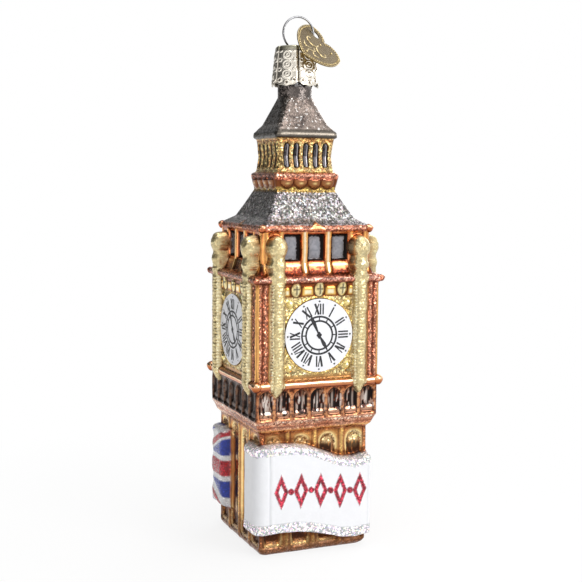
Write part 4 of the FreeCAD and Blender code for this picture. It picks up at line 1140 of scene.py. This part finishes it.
def cap_piece():
    """The crimped cap: an embossed shell with scalloped edge, seams and two wire holes."""
    n_a, n_z = 540, 130
    a = np.linspace(0, 2 * math.pi, n_a, endpoint=False)
    v = np.linspace(0, 1, n_z)
    A, V = np.meshgrid(a, v)
    top = CAP_HIGH[2]
    _, s = lobed(A, 4.6, 4.8)
    dip = .95 * np.abs(s) ** 2.2 + .22 * np.abs(np.sin(s * math.pi * 1.5))
    low = CAP_LOW[2] + dip
    Z = low + (top - low) * V
    k = (top - Z) / (top - CAP_LOW[2])
    seam = 4.65 + .92 * k
    R, s = lobed(A, seam, seam + .2)
    crimp = .16 * bump(np.abs(s) - 1, .07)
    R = R - crimp
    across = s * 2.45
    coat = Coat(A.shape)
    coat.lay(np.ones(A.shape), (252, 245, 232), .24)
    marks = np.zeros(A.shape)
    for zc in (120.6, 118.3, 116.0):
        d = np.hypot(across / .98, (Z - zc) / .92)
        marks = np.maximum(marks, bump(d - 1, .16))
        marks = np.maximum(marks, .8 * bump(d - .35, .2))
        for side in (-1, 1):
            e = np.hypot((across - side * 1.75) / .45, (Z - zc - 1.1) / .5)
            marks = np.maximum(marks, .8 * bump(e - .8, .25))
    for mid, rise in ((-1.55, 1.55), (0, 1.0), (1.55, 1.55)):
        d = np.hypot(across - mid, Z - (CAP_LOW[2] + rise))
        marks = np.maximum(marks, 1.1 * bump(d - .42, .15))
        coat.lay(step(.3 - d, .15), (110, 98, 84), .3)
    body = step(121.7 - Z, .3)
    marks = marks * body
    R = R + .13 * marks * step(.93 - np.abs(s), .06)
    coat.lay(marks, (248, 240, 226), .16)
    # painted shade: darker, in patches, between the embossed marks
    coat.lay(np.clip(.55 - marks, 0, 1) * body * noise(A * 22, Z * 1.5, 6, 2) * .6,
        (176, 162, 142), .26)
    coat.lay(bump(np.abs(s) - 1, .05), (66, 58, 48), .3)
    coat.lay(bump(Z - 121.85, .14), (126, 118, 98), .24)
    coat.lay(step(Z - 122.0, .2), (186, 182, 160), .2)
    coat.lay(bump((Z - low), .16), (236, 228, 212), .16)
    rim = np.clip((Z - (top - .5)) / .5, 0, 1)
    R = R - .5 * (1 - np.sqrt(np.clip(1 - rim ** 2, 0, 1)))
    outer = np.stack([R * np.cos(A), R * np.sin(A), Z], -1)
    inner_r = np.maximum(R - .26, .1)
    inner_z = np.minimum(Z, top - .26)
    inner = np.stack([inner_r * np.cos(A), inner_r * np.sin(A), inner_z], -1)[::-3]
    rows_in = len(inner)
    pts = np.concatenate([inner.reshape(-1, 3), outer.reshape(-1, 3)])
    # the inside of the shell is painted darker: painted shade
    tin = np.concatenate([coat.tint[::-3].reshape(-1, 4) * [.6, .6, .6, 1],
        coat.tint.reshape(-1, 4)])
    fin = np.concatenate([coat.fin[::-3].reshape(-1, 3), coat.fin.reshape(-1, 3)])
    q = grid_faces(rows_in, n_a, True).tolist()
    q2 = (grid_faces(n_z, n_a, True) + rows_in * n_a).tolist()
    last = (rows_in - 1) * n_a
    first = rows_in * n_a
    lip = [[last + i, last + (i + 1) % n_a, first + (i + 1) % n_a, first + i] for i in range(n_a)]
    # top plate with its two wire holes
    edge_i = rows_in * n_a + (n_z - 1) * n_a
    outer_loop = [Vector(pts[edge_i + i]) for i in range(n_a)]
    loops = [outer_loop]
    for side in (-2.0, 2.0):
        loops.append([Vector((side + .45 * math.cos(t), .45 * math.sin(t), top))
                      for t in np.linspace(0, 2 * math.pi, 20, endpoint=False)[::-1]])
    tri = tessellate_polygon(loops)
    base = len(pts)
    extra = [tuple(p) for loop in loops[1:] for p in loop]
    index = list(range(edge_i, edge_i + n_a)) + [base + i for i in range(len(extra))]
    pts = np.concatenate([pts, np.array(extra)])
    tin = np.concatenate([tin, np.tile([*lin(90, 82, 70), 0], (len(extra), 1))])
    fin = np.concatenate([fin, np.tile([1, .3, 0], (len(extra), 1))])
    plate = [[index[i] for i in t] for t in tri]
    obj = make_mesh("cap_shell", pts, q + q2 + lip + plate)
    paint_points(obj, tin, fin)
    return obj


cap = cap_piece()
dress(cap, tinted_metal("cap_metal", .24), "cap")
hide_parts("cap")

# ---------- hanger wire
recoat("hanger_wire", metal_material("wire_steel", lin(96, 96, 98), lin(150, 150, 152),
    lin(210, 210, 212), .24, 700, (1, 1, .15)))

# ---------- heart tag
recoat("heart_tag", metal_material("tag_brass", lin(102, 84, 50), lin(122, 102, 62),
    lin(136, 116, 74), .32, 160, None, .06))
bright = metal_material("tag_beads", lin(176, 152, 104), lin(222, 200, 146), lin(250, 236, 196),
    .2, 900)

HEART_ACROSS = 2.98   # from the tag's hole to the middle of the heart
yaw, pitch, roll = (math.radians(v) for v in (-26.89, 48.92, 24.27))
turn = np.array(Matrix.Rotation(yaw, 3, "Z") @ Matrix.Rotation(pitch, 3, "Y")
    @ Matrix.Rotation(roll, 3, "X"))
hole_at = np.array([5.38, .25, 126.28])


def tag_point(x, y, t):
    """From the heart's own plane into the tower's axes."""
    return turn @ np.array([x, y, t]) + hole_at


def heart_path(inset):
    """The heart's outline in its own plane, moved in by inset."""
    half_lobe, notch_y, lobe_y, waist_y, tip_y, flank = 3.03, .87, -.16, .572, -13.76, 13.13
    lobe = math.hypot(half_lobe, notch_y - lobe_y)
    waist_x = half_lobe + math.sqrt(lobe ** 2 - (waist_y - lobe_y) ** 2)
    half = []
    a0 = math.atan2(notch_y - lobe_y, -half_lobe)
    a1 = math.atan2(waist_y - lobe_y, waist_x - half_lobe)
    for t in np.linspace(a0, a1, 60):
        half.append((half_lobe + (lobe - inset) * math.cos(t),
            lobe_y + (lobe - inset) * math.sin(t)))
    w, tip = np.array([waist_x, waist_y]), np.array([0, tip_y])
    chord = w - tip
    length = np.linalg.norm(chord)
    perp = np.array([-chord[1], chord[0]]) / length
    centre = (w + tip) / 2 + perp * math.sqrt(flank ** 2 - length ** 2 / 4)
    b0, b1 = math.atan2(*(w - centre)[::-1]), math.atan2(*(tip - centre)[::-1])
    for t in np.linspace(b0, b1, 50)[1:]:
        half.append((centre[0] + (flank - inset) * math.cos(t),
            centre[1] + (flank - inset) * math.sin(t)))
    half = [p for p in half if p[0] > inset * .5]
    both = half + [(-x, y) for x, y in half[::-1]]
    return [(HEART_ACROSS + x, y) for x, y in both]


def beads_along(path, gap):
    """Points evenly spaced along a closed path."""
    out, carry = [], 0
    p = [np.array(q) for q in path] + [np.array(path[0])]
    for a, b in zip(p, p[1:]):
        length = np.linalg.norm(b - a)
        while carry < length:
            out.append(a + (b - a) * carry / length)
            carry += gap
        carry -= length
    return out


points, faces = [], []


def add_dome(x, y, side, r):
    """A small round bead on one side of the heart."""
    base = len(points)
    rings = ((1.0, -.02), (.92, .38 * r), (.6, .75 * r), (.2, .95 * r))
    for k, lift in rings:
        for i in range(8):
            b = 2 * math.pi * i / 8
            points.append(tag_point(x + r * k * math.cos(b), y + r * k * math.sin(b),
                side * (.14 + lift * .8)))
    for j in range(3):
        for i in range(8):
            i2 = (i + 1) % 8
            q = [base + j * 8 + i, base + j * 8 + i2, base + j * 8 + 8 + i2, base + j * 8 + 8 + i]
            faces.append(q if side > 0 else q[::-1])
    q = [base + 24 + i for i in range(8)]
    faces.append(q if side > 0 else q[::-1])


def add_ridge(path, side, width, high):
    """A raised line with a round back."""
    base = len(points)
    p = np.array(path)
    d = np.gradient(p, axis=0)
    d /= np.linalg.norm(d, axis=1)[:, None] + 1e-9
    nrm = np.stack([-d[:, 1], d[:, 0]], -1)
    for k in range(len(p)):
        taper = math.sin(math.pi * min(1, max(0, (k + .6) / len(p)))) ** .4
        for off, lift in ((-1, 0), (-.7, .6), (0, 1), (.7, .6), (1, 0)):
            q = p[k] + nrm[k] * off * width / 2 * taper
            points.append(tag_point(q[0], q[1], side * (.135 + lift * high * taper)))
    for k in range(len(p) - 1):
        for j in range(4):
            a = base + k * 5 + j
            q = [a, a + 5, a + 6, a + 1]
            faces.append(q if side < 0 else q[::-1])


for side in (1, -1):
    for x, y in beads_along(heart_path(.62), .66):
        add_dome(x, y, side, .19)
    add_ridge(heart_path(.12) + heart_path(.12)[:1], side, .22, .05)
    hx, hy = HEART_ACROSS, -5.0
    t = np.linspace(0, 1, 60)
    for sx in (-1, 1):
        a = t * 4.6
        r = 2.2 * (1 - t) ** .8 + .35
        add_ridge(np.stack([hx + sx * (2.3 + r * np.cos(a + 2.6)), hy + .6 + r * np.sin(a + 2.6)],
            -1), side, .42, .13)
        add_ridge(np.stack([hx + sx * (.3 + 2.6 * t), hy - 2.6 - 1.6 * np.sin(t * 3.0)], -1), side,
            .34, .11)
    add_ridge(np.stack([hx + 1.2 * np.sin(t * 6.28) * (1 - t), hy - 1.6 - 4.6 * t], -1), side, .34,
        .11)
    for x, y in ((hx, hy + 3.0), (hx + 3.2, hy + 4.9), (hx, hy - 6.3)):
        if math.hypot(x, y) > 2.2:
            add_dome(x, y, side, .3)
beads = make_mesh("tag_beading", np.array(points), faces)
dress(beads, bright, "tag")

# ---------- floor, light and camera
def floor_material():
    """White, kept white far off, with the object's shadow near it."""
    n = Nodes("studio_floor")
    n.set("Base Color", lin(250, 250, 250))
    n.set("Roughness", 1.0)
    n.set("Specular IOR Level", 0)
    glow = n.add("ShaderNodeEmission")
    glow.inputs["Color"].default_value = (1, 1, 1, 1)
    path = n.add("ShaderNodeLightPath")
    seen = n.math("MAXIMUM", path.outputs["Is Camera Ray"], path.outputs["Is Glossy Ray"])
    seen = n.math("MAXIMUM", seen, path.outputs["Is Transmission Ray"])
    far = n.spread(n.vector("LENGTH", n.coord), .03, .13, .84, 1.0)
    mix = n.add("ShaderNodeMixShader")
    n.link(n.math("MULTIPLY", seen, far), mix.inputs[0])
    n.link(n.shader.outputs[0], mix.inputs[1])
    n.link(glow.outputs[0], mix.inputs[2])
    surface = [x for x in n.tree.nodes if x.type == "OUTPUT_MATERIAL"][0].inputs["Surface"]
    n.link(mix.outputs[0], surface)
    return n.mat


floor = make_mesh("studio_floor",
    [(-4000, -4000, 0), (4000, -4000, 0), (4000, 4000, 0), (-4000, 4000, 0)], [(0, 1, 2, 3)])
floor.data.materials.append(floor_material())

world = bpy.data.worlds.new("studio")
bpy.context.scene.world = world
world.use_nodes = True
sky = Tree(world.node_tree)
back = sky.tree.nodes["Background"]
path = sky.add("ShaderNodeLightPath").outputs
direction = sky.add("ShaderNodeSeparateXYZ")
sky.link(sky.add("ShaderNodeTexCoord").outputs["Generated"], direction.inputs[0])
# darker from the left and the back, as beside a dark card
toward = sky.math("MULTIPLY_ADD", direction.outputs["Y"], -.6, direction.outputs["X"])
level = sky.spread(toward, -1.0, .25, .12, .72)
mirrored = sky.math("MAXIMUM", path["Is Glossy Ray"], path["Is Transmission Ray"])
in_mirrors = sky.spread(toward, -1.0, .3, .08, 1.0)
for test, strength in ((mirrored, in_mirrors), (path["Is Camera Ray"], 1.0)):
    pick = sky.add("ShaderNodeMix", data_type="FLOAT")
    for socket, value in zip((pick.inputs[0], *pick.inputs[2:4]), (test, level, strength)):
        sky.feed(socket, value)
    level = pick.outputs[0]
sky.link(level, back.inputs["Strength"])
back.inputs["Color"].default_value = (1, 1, 1, 1)


def lamp(name, place_mm, aim_mm, size_mm, watts):
    """A soft rectangular lamp aimed at a point."""
    data = bpy.data.lights.new(name, "AREA")
    data.shape = "RECTANGLE"
    data.size, data.size_y = size_mm[0] * MM, size_mm[1] * MM
    data.energy = watts
    obj = bpy.data.objects.new(name, data)
    bpy.context.scene.collection.objects.link(obj)
    obj.location = Vector(place_mm) * MM
    obj.rotation_euler = (Vector(aim_mm) - Vector(place_mm)).to_track_quat("-Z", "Y").to_euler()
    return obj


lamp("key", (170, -330, 210), (0, 0, 60), (160, 240), .62)
lamp("fill", (-330, -200, 120), (0, 0, 60), (120, 240), .10)
lamp("top", (0, -60, 420), (0, 0, 60), (260, 260), .5)
lamp("rim", (270, 250, 200), (0, 0, 60), (200, 200), .32)

camera = bpy.data.cameras.new("camera")
camera.sensor_width = 36
camera.lens = 66.32
camera.shift_x, camera.shift_y = -.0036, -.0180
camera.clip_start, camera.clip_end = .01, 20
eye = bpy.data.objects.new("camera", camera)
bpy.context.scene.collection.objects.link(eye)
eye.location = Vector((-106.142, -246.956, 90.321)) * MM
eye.rotation_euler = Euler([math.radians(v) for v in (84.639, -.590, -23.203)])
bpy.context.scene.camera = eye
bpy.context.scene.view_settings.view_transform = "Standard"
